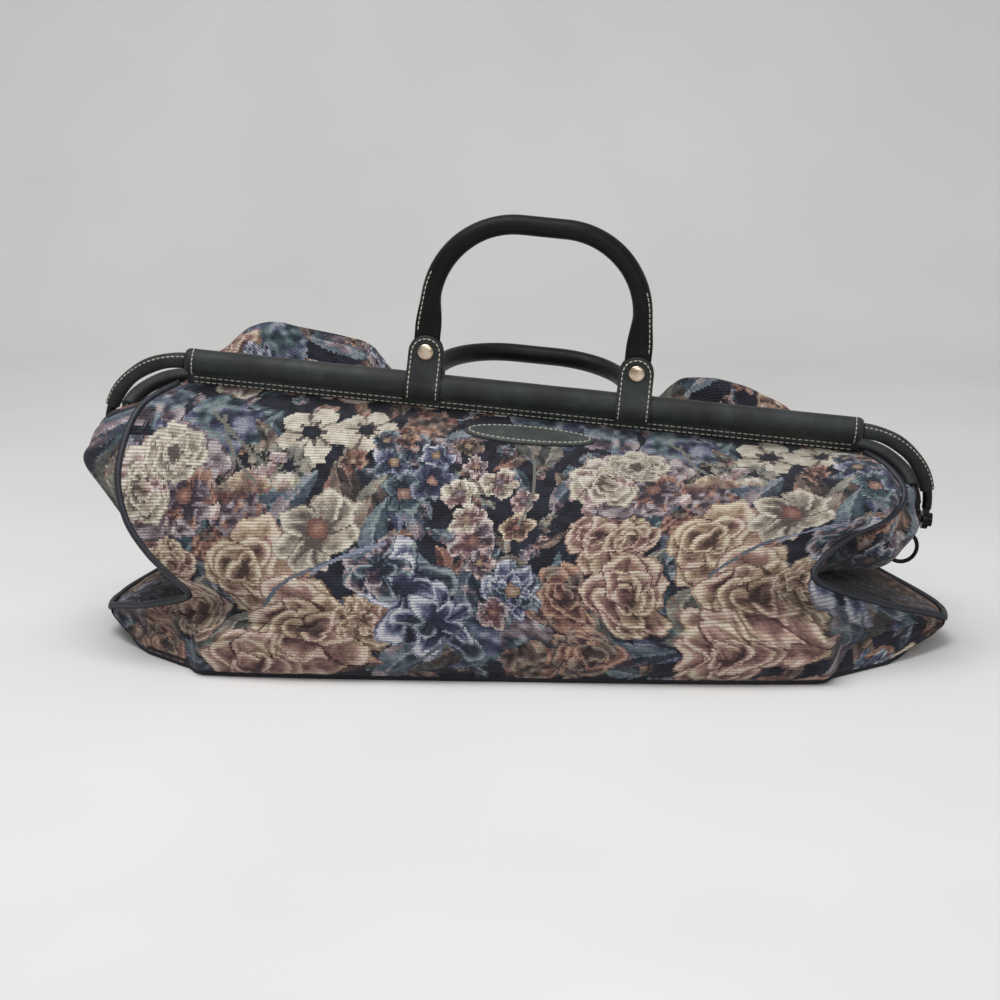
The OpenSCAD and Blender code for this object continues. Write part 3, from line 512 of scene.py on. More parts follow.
def sweep(path, across, half_w, half_t, power=2.0, sides=18):
    """Points and faces of a closed solid along a path, its section a rounded oblong along across."""
    path = np.asarray(path, float)
    n = len(path)
    tangent = unit(np.gradient(path, axis=0))
    across = np.broadcast_to(np.asarray(across, float), path.shape)
    across = unit(across - np.sum(across * tangent, -1, keepdims=True) * tangent)
    normal = np.cross(tangent, across)
    a = np.linspace(0, 2 * np.pi, sides, endpoint=False)
    e = 2 / np.broadcast_to(np.asarray(power, float), (n,))[:, None]
    wide = np.broadcast_to(half_w, (n,))[:, None] * np.sign(np.cos(a)) * np.abs(np.cos(a))**e
    thick = np.broadcast_to(half_t, (n,))[:, None] * np.sign(np.sin(a)) * np.abs(np.sin(a))**e
    points = path[:, None] + wide[..., None] * across[:, None] + thick[..., None] * normal[:, None]
    return points.reshape(-1, 3), tube_faces(n, sides)


def joined(parts):
    """One set of points and faces from several."""
    points, faces, start = [], [], 0
    for p, f in parts:
        points.append(np.asarray(p).reshape(-1, 3))
        faces += [[i + start for i in face] for face in f]
        start += len(points[-1])
    return np.concatenate(points), faces


def lengths_along(points):
    """Lengths from the start along a path, or along each row of a grid."""
    run = np.cumsum(np.linalg.norm(np.diff(points, axis=-2), axis=-1), -1)
    return np.concatenate([np.zeros(run.shape[:-1] + (1,)), run], -1)


def resampled(path, step):
    """Points at an even step along a path."""
    path = np.asarray(path, float)
    run = lengths_along(path)
    count = max(int(round(run[-1] / step)), 2)
    at = np.linspace(0, run[-1], count + 1)
    return np.stack([np.interp(at, run, path[:, i]) for i in range(3)], -1)


STITCH_PITCH, STITCH_L, STITCH_W = 4.4, 3.3, 0.95
# A strand at places along it: its thickness as shares, how far it bows out and how deep its ends dip
STRAND_AT, STRAND_THICK = np.array([-1, -0.8, 0, 0.8, 1]), np.array([0.45, 0.9, 1, 0.9, 0.45])
STRAND_BOW, STRAND_DIP, STRAND_SIDES = 0.42, 0.12, 6


def stitches(path, out, pitch=STITCH_PITCH):
    """A row of thread stitches along a path on a surface that faces out, each a short bowed strand."""
    marks = resampled(path, pitch)
    centres, along = (marks[1:] + marks[:-1]) / 2, unit(marks[1:] - marks[:-1])
    out = np.atleast_2d(np.asarray(out, float))
    at = np.linspace(0, 1, len(centres))
    out = unit(np.stack([np.interp(at, np.linspace(0, 1, len(out)), out[:, i]) for i in range(3)], -1))
    side = unit(np.cross(along, out))
    reach = STRAND_AT * (pitch / STITCH_PITCH * STITCH_L / 2)
    rise = STRAND_BOW * (1 - STRAND_AT * STRAND_AT) - STRAND_DIP
    thick = STRAND_THICK * STITCH_W / 2
    a = np.linspace(0, 2 * np.pi, STRAND_SIDES, endpoint=False)[:, None]
    spine = centres[:, None] + reach[:, None] * along[:, None] + rise[:, None] * out[:, None]
    ring = np.cos(a) * side[:, None] + np.sin(a) * out[:, None]
    points = spine[:, :, None] + thick[None, :, None, None] * ring[:, None]
    one, size = tube_faces(len(STRAND_AT), STRAND_SIDES), len(STRAND_AT) * STRAND_SIDES
    return points.reshape(-1, 3), [[k + size * s for k in f] for s in range(len(centres)) for f in one]


def turn_about(axis, angle):
    return np.array(Matrix.Rotation(math.radians(angle), 4, axis))


def shift(x, y, z):
    return np.array(Matrix.Translation((x, y, z)))


def moved(matrix, points):
    points = np.asarray(points, float)
    return points @ matrix[:3, :3].T + matrix[:3, 3]


# Where each half of the frame and its handle are, and how far its flange is turned
ON_HINGE = shift(0, 0, HINGE_H) @ turn_about("Y", FRAME_SLOPE)
LEAN = {"front": FRONT_LEAN, "back": -BACK_LEAN}
HANDLE_TURN = {"front": -FRONT_LEAN, "back": BACK_LEAN - BACK_HANDLE_FALL}
FLANGE_TURN = {"front": 0, "back": BACK_LEAN}
ON_BAR = {half: ON_HINGE @ turn_about("X", LEAN[half]) @ shift(0, 0, ARM_L) for half in LEAN}
ON_HANDLE = {half: ON_BAR[half] @ shift(HANDLE_SHIFT, 0, 0) @ turn_about("X", turn)
             for half, turn in HANDLE_TURN.items()}


# Rows or columns to each side over which lengths are evened, so that folds don't shear the flowers
EVEN_OVER = 22


def evened(lengths):
    n = len(lengths)
    near = np.pad(lengths, ((EVEN_OVER, EVEN_OVER), (0, 0)), mode="edge")
    return np.mean([near[k:k + n] for k in range(2 * EVEN_OVER + 1)], 0)


def arcs(points, own):
    """Lengths along each row from its middle, and up the cloth.

    Up the cloth is measured along the middle column, or to the share own along each column itself."""
    middle = points.shape[1] // 2
    along = lengths_along(points)
    along = evened(along - along[:, middle:middle + 1])
    up = evened(lengths_along(points.transpose(1, 0, 2))).T
    return along, mix(up[:, middle:middle + 1], up, own)


def pushed(points, amount):
    """The grid's points moved out along its own normals, and kept off the floor."""
    across, up = np.gradient(points, axis=1), np.gradient(points, axis=0)
    out = points + amount[..., None] * unit(np.cross(across, up))
    out[..., 2] = np.maximum(out[..., 2], FLOOR_Z)
    return out


def middles(grid):
    return (grid[:-1, :-1] + grid[1:, 1:]) / 2


def cloth_piece(name, points, u, w, shade):
    """A woven sheet: colours for each small square of cloth, darkened by painted shade in its folds, and its
    place on the cloth as the UV map.
    """
    n, m, _ = points.shape
    piece = make_piece(name, points, grid_faces(n, m), tapestry_cloth)
    rgba = np.ones(((n - 1) * (m - 1), 4, 4), np.float32)
    rgba[..., :3] = (tapestry(middles(u), middles(w)) * middles(shade).ravel()[:, None])[:, None, :]
    piece.data.color_attributes.new("Yarn", "FLOAT_COLOR", "CORNER").data.foreach_set("color", rgba.ravel())
    spots = np.stack([u.ravel(), w.ravel()], -1)
    corner = np.zeros(len(piece.data.loops), int)
    piece.data.loops.foreach_get("vertex_index", corner)
    layer = piece.data.uv_layers.new(name="Cloth")
    layer.data.foreach_set("uv", spots[corner].astype(np.float32).ravel())
    return piece


# How far in the lining is, and how many rows and columns of the cloth it takes for one of its own
LINING_IN, LINING_ROWS, LINING_COLUMNS = 3.5, 2, 5


def lining_piece(name, points):
    """The plain inside of a panel, a little in from the outside and facing in."""
    inside = points[::LINING_ROWS, ::LINING_COLUMNS]
    inside = pushed(inside, np.full(inside.shape[:2], -LINING_IN))
    n, m, _ = inside.shape
    return make_piece(name, inside, [f[::-1] for f in grid_faces(n, m)], lining_cloth)


# How far below its bar's axis a panel ends inside the flange
PANEL_TOP = 12.7


def top_edge(bar, down, out, columns):
    """The panel's last row, inside the flange."""
    y, z = bar + out * PANEL_T / 2 + PANEL_TOP * down
    x = columns * (BAR_L / 2 - FLANGE_END - SEAT_GAP)
    return turned(np.stack([x, np.full_like(x, y), np.full_like(x, z)], -1))


PANEL_ROWS, PANEL_COLUMNS, END_COLUMNS = 190, 500, 130


def long_grid(at, mouth, sign):
    """Grid of a long panel, with the last row under the flange, and its places s and v."""
    columns = sign * np.linspace(-1, 1, PANEL_COLUMNS + 1)
    across = columns * (1 - SEAM_ALLOWANCE / HALF_L)
    s, v = np.meshgrid(across, np.linspace(0, LAST_ROW, PANEL_ROWS + 1))
    points = np.concatenate([at(s, v), top_edge(*mouth, columns)[None]])
    return points, np.concatenate([s, s[-1:]]), np.concatenate([v, v[-1:]])


def held(s, v):
    """0 at the edges of a long panel, where it is sewn, and 1 inside."""
    return smooth((LAST_ROW - v) / 0.7) * smooth((1 - np.abs(s)) / 0.06) * smooth(v / 0.4)


def front_wrinkles(u, w, s, v):
    """Puckers under the bar, soft dents all over and a faint crease down the middle, in millimetres."""
    pucker = 1.6 * noise(u / 19, w / 90, 11) * smooth((w - 150) / 60)
    dents = 2.6 * noise(u / 80, w / 50, 12) + 0.9 * noise(u / 30, w / 24, 14)
    crease = 0.8 * np.exp(-((u + 6) / 2.2)**2) * smooth((75 - w) / 25) * smooth((w - 8) / 12)
    under_patch = smooth((0.72 * PATCH_L - np.abs(u - PATCH_X)) / 16) * smooth((v - 7.6) / 0.8)
    roll = 9 * smooth((s - 0.78) / 0.12) * smooth((1 - s) / 0.04) * bell((v - 7.6) / 2.4)
    return (pucker + dents - crease + 0.35 * noise(u / 9, w / 8, 13)) * held(s, v) * (1 - under_patch) + roll


def back_wrinkles(u, w, s, v):
    """Deeper slack folds than the front has."""
    folds = 3.2 * noise(u / 48, w / 70, 21) + 1.4 * noise(u / 24, w / 26, 22)
    return (folds + 0.35 * noise(u / 9, w / 8, 23)) * held(s, v)


def end_wrinkles(u, w, q, v):
    """Soft folds, and fine gathers at the top, away from the chape."""
    folds = 2.0 * noise(u / 34, w / 40, 31) + 0.9 * noise(u / 15, w / 18, 32)
    gathers = 2.4 * noise(u / 7, w / 60, 33) * smooth((v - 7.2) / 1.2)
    off_chape = smooth((6.4 - v) / 0.8) + smooth((np.abs(q) - 0.3) / 0.2)
    return (folds + gathers) * smooth((1 - np.abs(q)) / 0.15) * smooth(v / 0.4) * np.clip(off_chape, 0, 1)


def long_painted_shade(s, v):
    """Painted shade that darkens the cloth of a long panel where it folds in above the corners of the base.
    """
    return 1 - 0.55 * bell((np.abs(s) - 0.86) / 0.14) * bell((v - 3.4) / 1.7)


def end_painted_shade(v):
    """Painted shade that darkens the cloth of an end panel in its deep fold."""
    return 1 - 0.8 * within(v, (2.0, 3.3, 5.6, 7.2))


def straight(x0, x1, z, count):
    """Points along a bar, at a height from its axis."""
    x = np.linspace(x0, x1, count)
    return np.stack([x, np.zeros(count), np.full(count, z)], -1)


# Room between a tab and the flange to each side of it, and how far the flange goes into the sleeve
NOTCH_GAP, FLANGE_IN = 0.5, 1.5


def flange_spans():
    """Lengths of the flange, each with where it starts below the bar's axis: lower where a tab turns."""
    notch, end = TAB_W / 2 + NOTCH_GAP, BAR_L / 2 - FLANGE_END
    left, right = HANDLE_SHIFT - HANDLE_SPAN / 2, HANDLE_SHIFT + HANDLE_SPAN / 2
    stops = [-end, left - notch, left + notch, right - notch, right + notch, end]
    tops = (BAR_R - FLANGE_IN, TAB_IN_R + TAB_T / 2)
    return [(a, b, tops[k % 2]) for k, (a, b) in enumerate(zip(stops, stops[1:]))]


def flange(turn):
    """Points and faces of the flange under a bar, turned about the bar's axis."""
    parts = []
    for a, b, top in flange_spans():
        half = (MOUTH_R - top) / 2
        parts.append(sweep(straight(a, b, -top - half, 40), (0, 0, 1), half, FLANGE_T / 2, 5, 20))
    points, faces = joined(parts)
    return moved(turn_about("X", turn), points), faces


# How far the sleeve rolls in at each end, and over what length
END_ROLL, END_ROLL_L = 1.4, 1.6


def bar_sleeve():
    """Points and faces of the sewn leather over a bar, with a soft roll at each end."""
    path = straight(-BAR_L / 2, BAR_L / 2, 0, 200)
    x = path[:, 0]
    roll = 1 - np.clip((BAR_L / 2 - np.abs(x)) / END_ROLL_L, 0, 1)
    r = BAR_R - END_ROLL * roll**2 - 0.12 * (1 + noise(x / 23, x * 0, 41))
    return sweep(path, (0, 1, 0), r, r, 2, 40)


# Where the flange's rows of stitches are from the bar's axis, and how far stitches stay off the ends
FLANGE_ROWS, ROW_END, ROUND_END, ROUND_PITCH = (-10.6, -14.2), 4, 5.5, 3.4


def sleeve_threads(turn):
    """Two rows of stitches on each face of the flange, and a line of them round each end of the sleeve."""
    rows = []
    end = BAR_L / 2 - FLANGE_END - ROW_END
    for face in (-1, 1):
        for z in FLANGE_ROWS:
            row = straight(-end, end, z, 30) + [0, face * FLANGE_T / 2, 0]
            points, faces = stitches(row, (0, face, 0))
            rows.append((moved(turn_about("X", turn), points), faces))
    a = np.radians(np.linspace(-62, 242, 60) + turn)
    ring = np.stack([np.zeros(60), np.cos(a), np.sin(a)], -1)
    for side in (-1, 1):
        rows.append(stitches(BAR_R * ring + [side * (BAR_L / 2 - ROUND_END), 0, 0], ring, ROUND_PITCH))
    return joined(rows)


def arm_line(side, step):
    """Centre line of an arm's cover, from the bar end to where the eye comes out, and its angles."""
    bend = ARM_BEND_R - step
    a = np.radians(np.linspace(90, COVER_STOP, 40))
    x = BAR_L / 2 + SEAT_GAP + bend * np.cos(a)
    return np.stack([side * x, np.zeros(40), bend * np.sin(a) - bend], -1), a


def arm_cover(side, step):
    line, _ = arm_line(side, step)
    swell = 1 + 0.03 * np.cos(5 * np.pi * np.linspace(0, 1, 40))
    return sweep(line, (0, 1, 0), ARM_COVER_R * 0.93 * swell, ARM_COVER_R * swell, 2.4, 24)


ARM_PITCH = 3.6


def arm_threads(side, step):
    """A stitched seam along the outer edge of an arm's cover, seen from the front and the back."""
    line, a = arm_line(side, step)
    away = np.stack([side * np.cos(a), 0 * a, np.sin(a)], -1)
    rows = []
    for face in (-1, 1):
        out = unit(0.75 * away + np.array([0, face * 0.66, 0]))
        rows.append(stitches(line + ARM_COVER_R * 0.98 * out, out, ARM_PITCH))
    return joined(rows)


def tab_line():
    """Side view of a tab's strap: down the front, round under the bar and up the back."""
    flat, loop = HANDLE_END_T / 2 + TAB_T / 2 + 0.1, TAB_IN_R + TAB_T / 2
    a = np.radians(np.linspace(180, 360, 40))
    corners = [(-flat, TAB_H), (-flat, TAB_CLOSE_H + 2)] + list(zip(loop * np.cos(a), loop * np.sin(a)))
    corners += [(flat, TAB_CLOSE_H + 2), (flat, TAB_H)]
    path = resampled([(0, y, z) for y, z in corners], 0.6)
    for _ in range(6):
        path[1:-1] = (path[:-2] + 2 * path[1:-1] + path[2:]) / 4
    return path


def tab(side):
    """Points and faces of a tab's strap, with round ends."""
    path = tab_line()
    run = lengths_along(path)
    d = np.minimum(run, run[-1] - run)
    r = TAB_W / 2
    half_w = np.where(d < r, np.sqrt(np.maximum(r * r - (r - np.minimum(d, r))**2, 0.04)), r)
    half_t = TAB_T / 2 * np.clip(0.55 + d / 2.2, 0, 1)
    return sweep(path + [side * HANDLE_SPAN / 2, 0, 0], (1, 0, 0), half_w, half_t, 5, 36)


# How far in from a tab's edge its stitches are, how far down a leg they go, and their pitch
TAB_BORDER, TAB_ROW_L, TAB_PITCH = 2.3, 47, 3.7


def tab_threads(side):
    """A stitched border up one edge of a tab's leg, round its top and down the other, on both legs."""
    path = tab_line()
    rows = []
    r = TAB_W / 2 - TAB_BORDER
    a = np.radians(np.linspace(180, 0, 16))
    leg_down = np.linspace(TAB_W / 2 + 1, TAB_ROW_L, 10)
    offset = np.concatenate([np.full(10, -r), r * np.cos(a), np.full(10, r)])
    depth = np.concatenate([leg_down[::-1], TAB_W / 2 - r * np.sin(a), leg_down])
    for leg, way in ((path, 1), (path[::-1], -1)):
        run = lengths_along(leg)
        y, z = (np.interp(depth, run, leg[:, i]) for i in (1, 2))
        slope = unit(np.gradient(leg, axis=0))
        ty, tz = (np.interp(depth, run, slope[:, i]) for i in (1, 2))
        out = way * unit(np.stack([0 * y, tz, -ty], -1))
        line = np.stack([side * HANDLE_SPAN / 2 + offset, y, z], -1) + out * TAB_T / 2
        rows.append(stitches(line, out, TAB_PITCH))
    return joined(rows)


def handle_line():
    """Centre line of a handle, from one flat end over the grip to the other."""
    x, low = HANDLE_SPAN / 2, HANDLE_H - HANDLE_BEND_R
    a = np.radians(np.linspace(0, 90, 40))
    leg = np.stack([np.full(40, x), np.zeros(40), np.linspace(HANDLE_FROM, low, 41)[:-1]], -1)
    in_x = x - HANDLE_BEND_R
    bend = np.stack([in_x + HANDLE_BEND_R * np.cos(a), 0 * a, low + HANDLE_BEND_R * np.sin(a)], -1)
    half = np.concatenate([leg, bend])
    return np.concatenate([half, half[::-1] * [-1, 1, 1]])


def handle_section(z):
    """Half width, half thickness and squareness of a handle at a height above its bar."""
    m = smooth((z - HANDLE_FLAT_TO) / (HANDLE_H - HANDLE_BEND_R - HANDLE_FLAT_TO + 6))
    return mix(HANDLE_END_W / 2, GRIP_R, m), mix(HANDLE_END_T / 2, GRIP_R, m), mix(5.0, 2.0, m)


def handle():
    line = handle_line()
    half_w, half_t, power = handle_section(line[:, 2])
    lump = 1 + 0.02 * noise(np.arange(len(line)) / 9.0, 0 * half_w, 51)
    tangent = unit(np.gradient(line, axis=0))
    return sweep(line, np.cross(tangent, [0.0, 1, 0]), half_w * lump, half_t * lump, power, 32)


# How high a handle's stitches go, how far in from its edge they are, and their pitch
LEG_ROW_TOP, LEG_BORDER, LEG_PITCH = 84, 2.4, 3.9


def handle_threads():
    """Stitches down the outer edge of each leg, front and back, running out where the grip is round."""
    rows = []
    z = np.linspace(TAB_H + 2.5, LEG_ROW_TOP, 30)
    line = handle_line()[:80]
    x = np.interp(z, line[:, 2], line[:, 0])
    half_w, half_t, power = handle_section(z)
    share = np.clip((half_w - LEG_BORDER) / half_w, 0, 1)
    y = half_t * (1 - share**power)**(1 / power)
    lean = np.stack([np.clip((z - 45) / 30, 0, 1) * 0.8, 0 * z + 1, 0 * z], -1)
    for side in (-1, 1):
        for face in (-1, 1):
            row = np.stack([side * (x + half_w * share), face * y, z], -1)
            rows.append(stitches(row, lean * [side, face, 1], LEG_PITCH))
    return joined(rows)


# Outline of a rivet's domed cap, from its rim to its top
CAP_R = np.array([5.7, 6.0, 5.9, 5.5, 4.7, 3.6, 2.3, 1.0, 0.2]) / 6 * RIVET_R
CAP_H = np.array([0, 0.35, 0.8, 1.3, 1.7, 1.95, 2.1, 2.18, 2.2])


def rivet(side):
    """Domed caps on the two faces of a tab."""
    face = HANDLE_END_T / 2 + TAB_T + 0.16
    parts = []
    for way in (-1, 1):
        spine = np.stack([np.full(9, side * HANDLE_SPAN / 2), way * (face + CAP_H), np.full(9, RIVET_H)], -1)
        parts.append(sweep(spine, (1, 0, 0), CAP_R, CAP_R, 2, 32))
    return joined(parts)


# The row of the cloth that the patch's middle is on, how far it stands off, and its border and stitches
PATCH_ROW, PATCH_CLEAR, PATCH_BORDER, PATCH_PITCH = LAST_ROW - 0.7, 0.4, 2.6, 3.7


def patch_place(a, b):
    """Points of the front cloth and their outward normals, at a along and b up from the patch's middle."""
    reach = curve(FRONT_SEAMS[1], np.array([PATCH_ROW]))[0, 0]
    h = 0.02
    below, above = curve(FRONT_MID, np.array([PATCH_ROW - h, PATCH_ROW + h]))
    rise = np.linalg.norm(above - below) / (2 * h)
    s, v = (PATCH_X + a) / reach, PATCH_ROW + b / rise
    along, up = front_at(s + h, v) - front_at(s - h, v), front_at(s, v + h) - front_at(s, v - h)
    return front_at(s, v), unit(np.cross(along, up))


def patch():
    """A bare oval of leather on the cloth, a little crowned, with a soft edge."""
    share = np.array([0, 0.2, 0.4, 0.6, 0.75, 0.86, 0.93, 0.97, 0.99, 1.0, 1.0])
    height = np.array([1, 1, 1, 1, 0.99, 0.97, 0.93, 0.86, 0.74, 0.5, 0.0]) * PATCH_T
    a = np.linspace(0, 2 * np.pi, 72, endpoint=False)
    out_to = share[:, None]
    seat, out = patch_place(out_to * PATCH_L / 2 * np.cos(a), out_to * PATCH_H / 2 * np.sin(a))
    points = seat + (PATCH_CLEAR + height)[:, None, None] * out
    return points, grid_faces(len(share), 72, closed=True)


def patch_threads():
    a = np.linspace(0, 2 * np.pi, 90)
    half_l, half_h = PATCH_L / 2 - PATCH_BORDER, PATCH_H / 2 - PATCH_BORDER
    seat, out = patch_place(half_l * np.cos(a), half_h * np.sin(a))
    return stitches(seat + (PATCH_CLEAR + PATCH_T * 0.97) * out, out, PATCH_PITCH)


def base_cloth():
    """The flat bottom of the bag, its hem turned up between the panels and their lining."""
    s, q = np.linspace(-1, 1, 90)[:-1], np.linspace(-1, 1, 30)[:-1]
    ring = [front_at(s, 0 * s), end_at(1, q, 0 * q), back_at(-s, 0 * s), end_at(-1, -q, 0 * q)]
    ring = np.concatenate(ring)[:, :2]
    share = np.array([0.001, 0.3, 0.6, 0.9, 0.985, 0.998, 1.0, 1.0, 0.997, 0.994, 0.9, 0.001])
    height = np.array([0.0, 0, 0, 0, 0, 0.3, 1.0, 2.6, 6.0, 2.9, 2.9, 2.9])
    points = np.concatenate([share[:, None, None] * ring[None],
                             np.broadcast_to(height[:, None, None], (12, len(ring), 1))], -1)
    return points, grid_faces(12, len(ring), closed=True)


class Look:
    """A node material under construction, with short ways to add and join nodes."""

    def __init__(self, name):
        self.material = bpy.data.materials.new(name)
        self.material.use_nodes = True
        self.tree = self.material.node_tree
        self.shader = self.tree.nodes["Principled BSDF"]

    def fill(self, socket, value):
        """Gives a socket a value, or joins another node's output to it."""
        if isinstance(value, bpy.types.NodeSocket):
            self.tree.links.new(value, socket)
        else:
            socket.default_value = value

    def add(self, kind, inputs=None, **settings):
        node = self.tree.nodes.new(kind)
        for key, value in settings.items():
            setattr(node, key, value)
        for key, value in (inputs or {}).items():
            self.fill(node.inputs[key], value)
        return node

    def set(self, **inputs):
        """Fills inputs of the surface's shader."""
        for key, value in inputs.items():
            self.fill(self.shader.inputs[key.replace("_", " ")], value)

    def place(self):
        return self.add("ShaderNodeTexCoord").outputs["Object"]

    def math(self, operation, a, b=0.0):
        return self.add("ShaderNodeMath", {0: a, 1: b}, operation=operation).outputs[0]

    def noise(self, scale, detail=3.0, rough=0.55):
        inputs = {"Scale": scale, "Detail": detail, "Roughness": rough, "Vector": self.place()}
        return self.add("ShaderNodeTexNoise", inputs).outputs["Fac"]

    def ramp(self, fac, stops):
        """Colours along a factor, from (place, hex code) pairs."""
        node = self.add("ShaderNodeValToRGB", {"Fac": fac})
        elements = node.color_ramp.elements
        while len(elements) < len(stops):
            elements.new(0.5)
        for element, (place, code) in zip(elements, stops):
            element.position = place
            element.color = (*colour(code), 1)
        return node.outputs["Color"]

    def span(self, fac, low, high, from_low=0.0, from_high=1.0):
        """A factor moved from one span of values to another."""
        inputs = {"Value": fac, "From Min": from_low, "From Max": from_high, "To Min": low, "To Max": high}
        return self.add("ShaderNodeMapRange", inputs).outputs["Result"]

    def times(self, tint, amount):
        """A colour dimmed by a factor."""
        return self.add("ShaderNodeVectorMath", {0: tint, "Scale": amount}, operation="SCALE").outputs[0]

    def bump(self, height, strength, distance):
        inputs = {"Height": height, "Strength": strength, "Distance": distance}
        self.set(Normal=self.add("ShaderNodeBump", inputs).outputs["Normal"])

    def clear_from_behind(self):
        """Lets a view from behind see through the surface."""
        behind = self.add("ShaderNodeNewGeometry").outputs["Backfacing"]
        clear = self.add("ShaderNodeBsdfTransparent").outputs[0]
        choose = self.add("ShaderNodeMixShader", {0: behind, 1: self.shader.outputs[0], 2: clear})
        self.fill(self.tree.nodes["Material Output"].inputs["Surface"], choose.outputs[0])


# Millimetres from rib to rib of the weave, and from warp thread to warp thread
RIB, WARP = 2.2, 1.3


def tapestry_look():
    """Woven yarns: ribs with painted shade between them that shows most on the light yarns, warp threads
    between, and a little wear.
    """
    look = Look("tapestry")
    yarn = look.add("ShaderNodeAttribute", attribute_name="Yarn").outputs["Color"]
    spot = look.add("ShaderNodeUVMap", uv_map="Cloth").outputs["UV"]
    place = look.add("ShaderNodeSeparateXYZ", {0: spot}).outputs
    up = look.math("MULTIPLY", place["Y"], 2 * math.pi / RIB)
    rib = look.math("SINE", look.math("ADD", up, look.math("MULTIPLY", look.noise(160), 2.0)))
    warp = look.math("SINE", look.math("MULTIPLY", place["X"], 2 * math.pi / WARP))
    light = look.add("ShaderNodeRGBToBW", {0: yarn}).outputs[0]
    # Painted shade: the colour is darkened in the grooves between the ribs, most on the light yarns
    depth = look.span(light, 0.12, 0.50, 0.02, 0.40)
    dim = look.math("SUBTRACT", 1.12, look.math("MULTIPLY", look.span(rib, 1.0, 0.0, -1.0, 0.2), depth))
    for wear in (look.span(warp, 0.90, 1.05, -1, 1), look.span(look.noise(1400, 2), 0.80, 1.20, 0.3, 0.7),
                 look.span(look.noise(14, 2), 0.90, 1.10, 0.3, 0.7)):
        dim = look.math("MULTIPLY", dim, wear)
    look.bump(look.math("ADD", rib, look.math("MULTIPLY", warp, 0.5)), 0.55, 0.00035)
    look.set(Base_Color=look.times(yarn, dim), Roughness=0.92, Sheen_Weight=0.12, Sheen_Roughness=0.5,
             Specular_IOR_Level=0.2)
    return look.material


def leather_look(name, dark, mid, pale, rough, gloss=0.35):
    """Waxed nubuck: cloudy colour, rubbed paler in patches, with a fine grain."""
    look = Look(name)
    cloud, fine = look.noise(38, 5, 0.6), look.noise(900, 4, 0.6)
    tint = look.ramp(cloud, [(0.30, dark), (0.52, mid), (0.78, pale)])
    pores = look.add("ShaderNodeTexVoronoi", {"Vector": look.place(), "Scale": 620},
                     feature="DISTANCE_TO_EDGE").outputs["Distance"]
    look.bump(look.math("ADD", look.math("MULTIPLY", pores, 0.8), fine), 0.30, 0.0004)
    look.set(Base_Color=look.times(tint, look.span(fine, 0.78, 1.22, 0.3, 0.7)),
             Roughness=look.span(cloud, rough + 0.10, rough - 0.10, 0.3, 0.7),
             Specular_IOR_Level=gloss, Sheen_Weight=0.06)
    return look.material


def plain_look(name, dark, pale, scale, rough, metal=0.0, height=0.2):
    """A surface of two close tones with a fine unevenness: thread, metal, cord, board or lining."""
    look = Look(name)
    cloud = look.noise(scale, 4)
    look.bump(look.noise(scale * 4, 3), height, 0.0003)
    look.set(Base_Color=look.ramp(cloud, [(0.35, dark), (0.68, pale)]), Metallic=metal,
             Roughness=look.span(cloud, rough - 0.08, rough + 0.08, 0.3, 0.7))
    return look.material


def wood_look():
    """Pale turned wood, its grain along the bar."""
    look = Look("dowel_wood")
    stretch = look.add("ShaderNodeMapping", {"Scale": (4, 60, 60), "Vector": look.place()}).outputs["Vector"]
    grain = look.add("ShaderNodeTexNoise", {"Scale": 6, "Vector": stretch}).outputs["Fac"]
    look.set(Base_Color=look.ramp(grain, [(0.35, "#8f6c45"), (0.65, "#c6a273")]), Roughness=0.6)
    return look.material


tapestry_cloth = tapestry_look()
lining_cloth = plain_look("lining", "#1d1a1c", "#2c282a", 500, 0.85, height=0.4)
# A dark base canvas; the dark band it shows along the bottom edge also stands in for the shade under the bag
base_canvas = plain_look("base_canvas", "#15151b", "#22222b", 700, 0.85, height=0.5)
leather = leather_look("nubuck", "#17191a", "#222626", "#363b3a", 0.58)
grip_leather = leather_look("grip_nubuck", "#070808", "#0c0e0e", "#151818", 0.46, gloss=0.16)
patch_leather = leather_look("patch_nubuck", "#2e3332", "#3d4341", "#545a56", 0.66)
thread = plain_look("thread", "#9c998c", "#cfccc0", 900, 0.7)
cord = plain_look("piping_cord", "#15171f", "#262a36", 600, 0.5, height=0.35)
rivet_metal = plain_look("rivet_metal", "#b7a08c", "#e2d2bf", 120, 0.28, metal=1.0, height=0.05)
ring_metal = plain_look("ring_metal", "#131215", "#2a282a", 200, 0.34, metal=0.8, height=0.05)
board = plain_look("base_board", "#6d5a45", "#8b765c", 240, 0.8, height=0.3)
wood = wood_look()


def bend_with(piece):
    """Bakes the piece's place into its mesh."""
    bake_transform(piece)


def sewn_panel(name, points, u, w, shade, node):
    """A panel of cloth and its lining, sewn in at an edge."""
    panel = cloth_piece(name + "_cloth", points, u, w, shade)
    lining = lining_piece(name + "_lining", points)
    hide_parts(node)
    for piece in (panel, lining):
        bend_with(piece)


def long_panel(half, at, mouth, wrinkles, sign, offset, own):
    """The front or back panel, cut from the cloth at an offset along it."""
    points, s, v = long_grid(at, mouth, sign)
    u, w = arcs(points, own)
    points = pushed(points, wrinkles(u, w, s, v))
    sewn_panel(half, points, u + offset, w, long_painted_shade(s, v), half + "_panel")


# How far the slack top of each end panel is gathered up and out beside the front arm
GATHER = {-1: 20, 1: 18}
# Where each end panel is cut from along the cloth
END_OFFSET = {-1: 240, 1: 340}


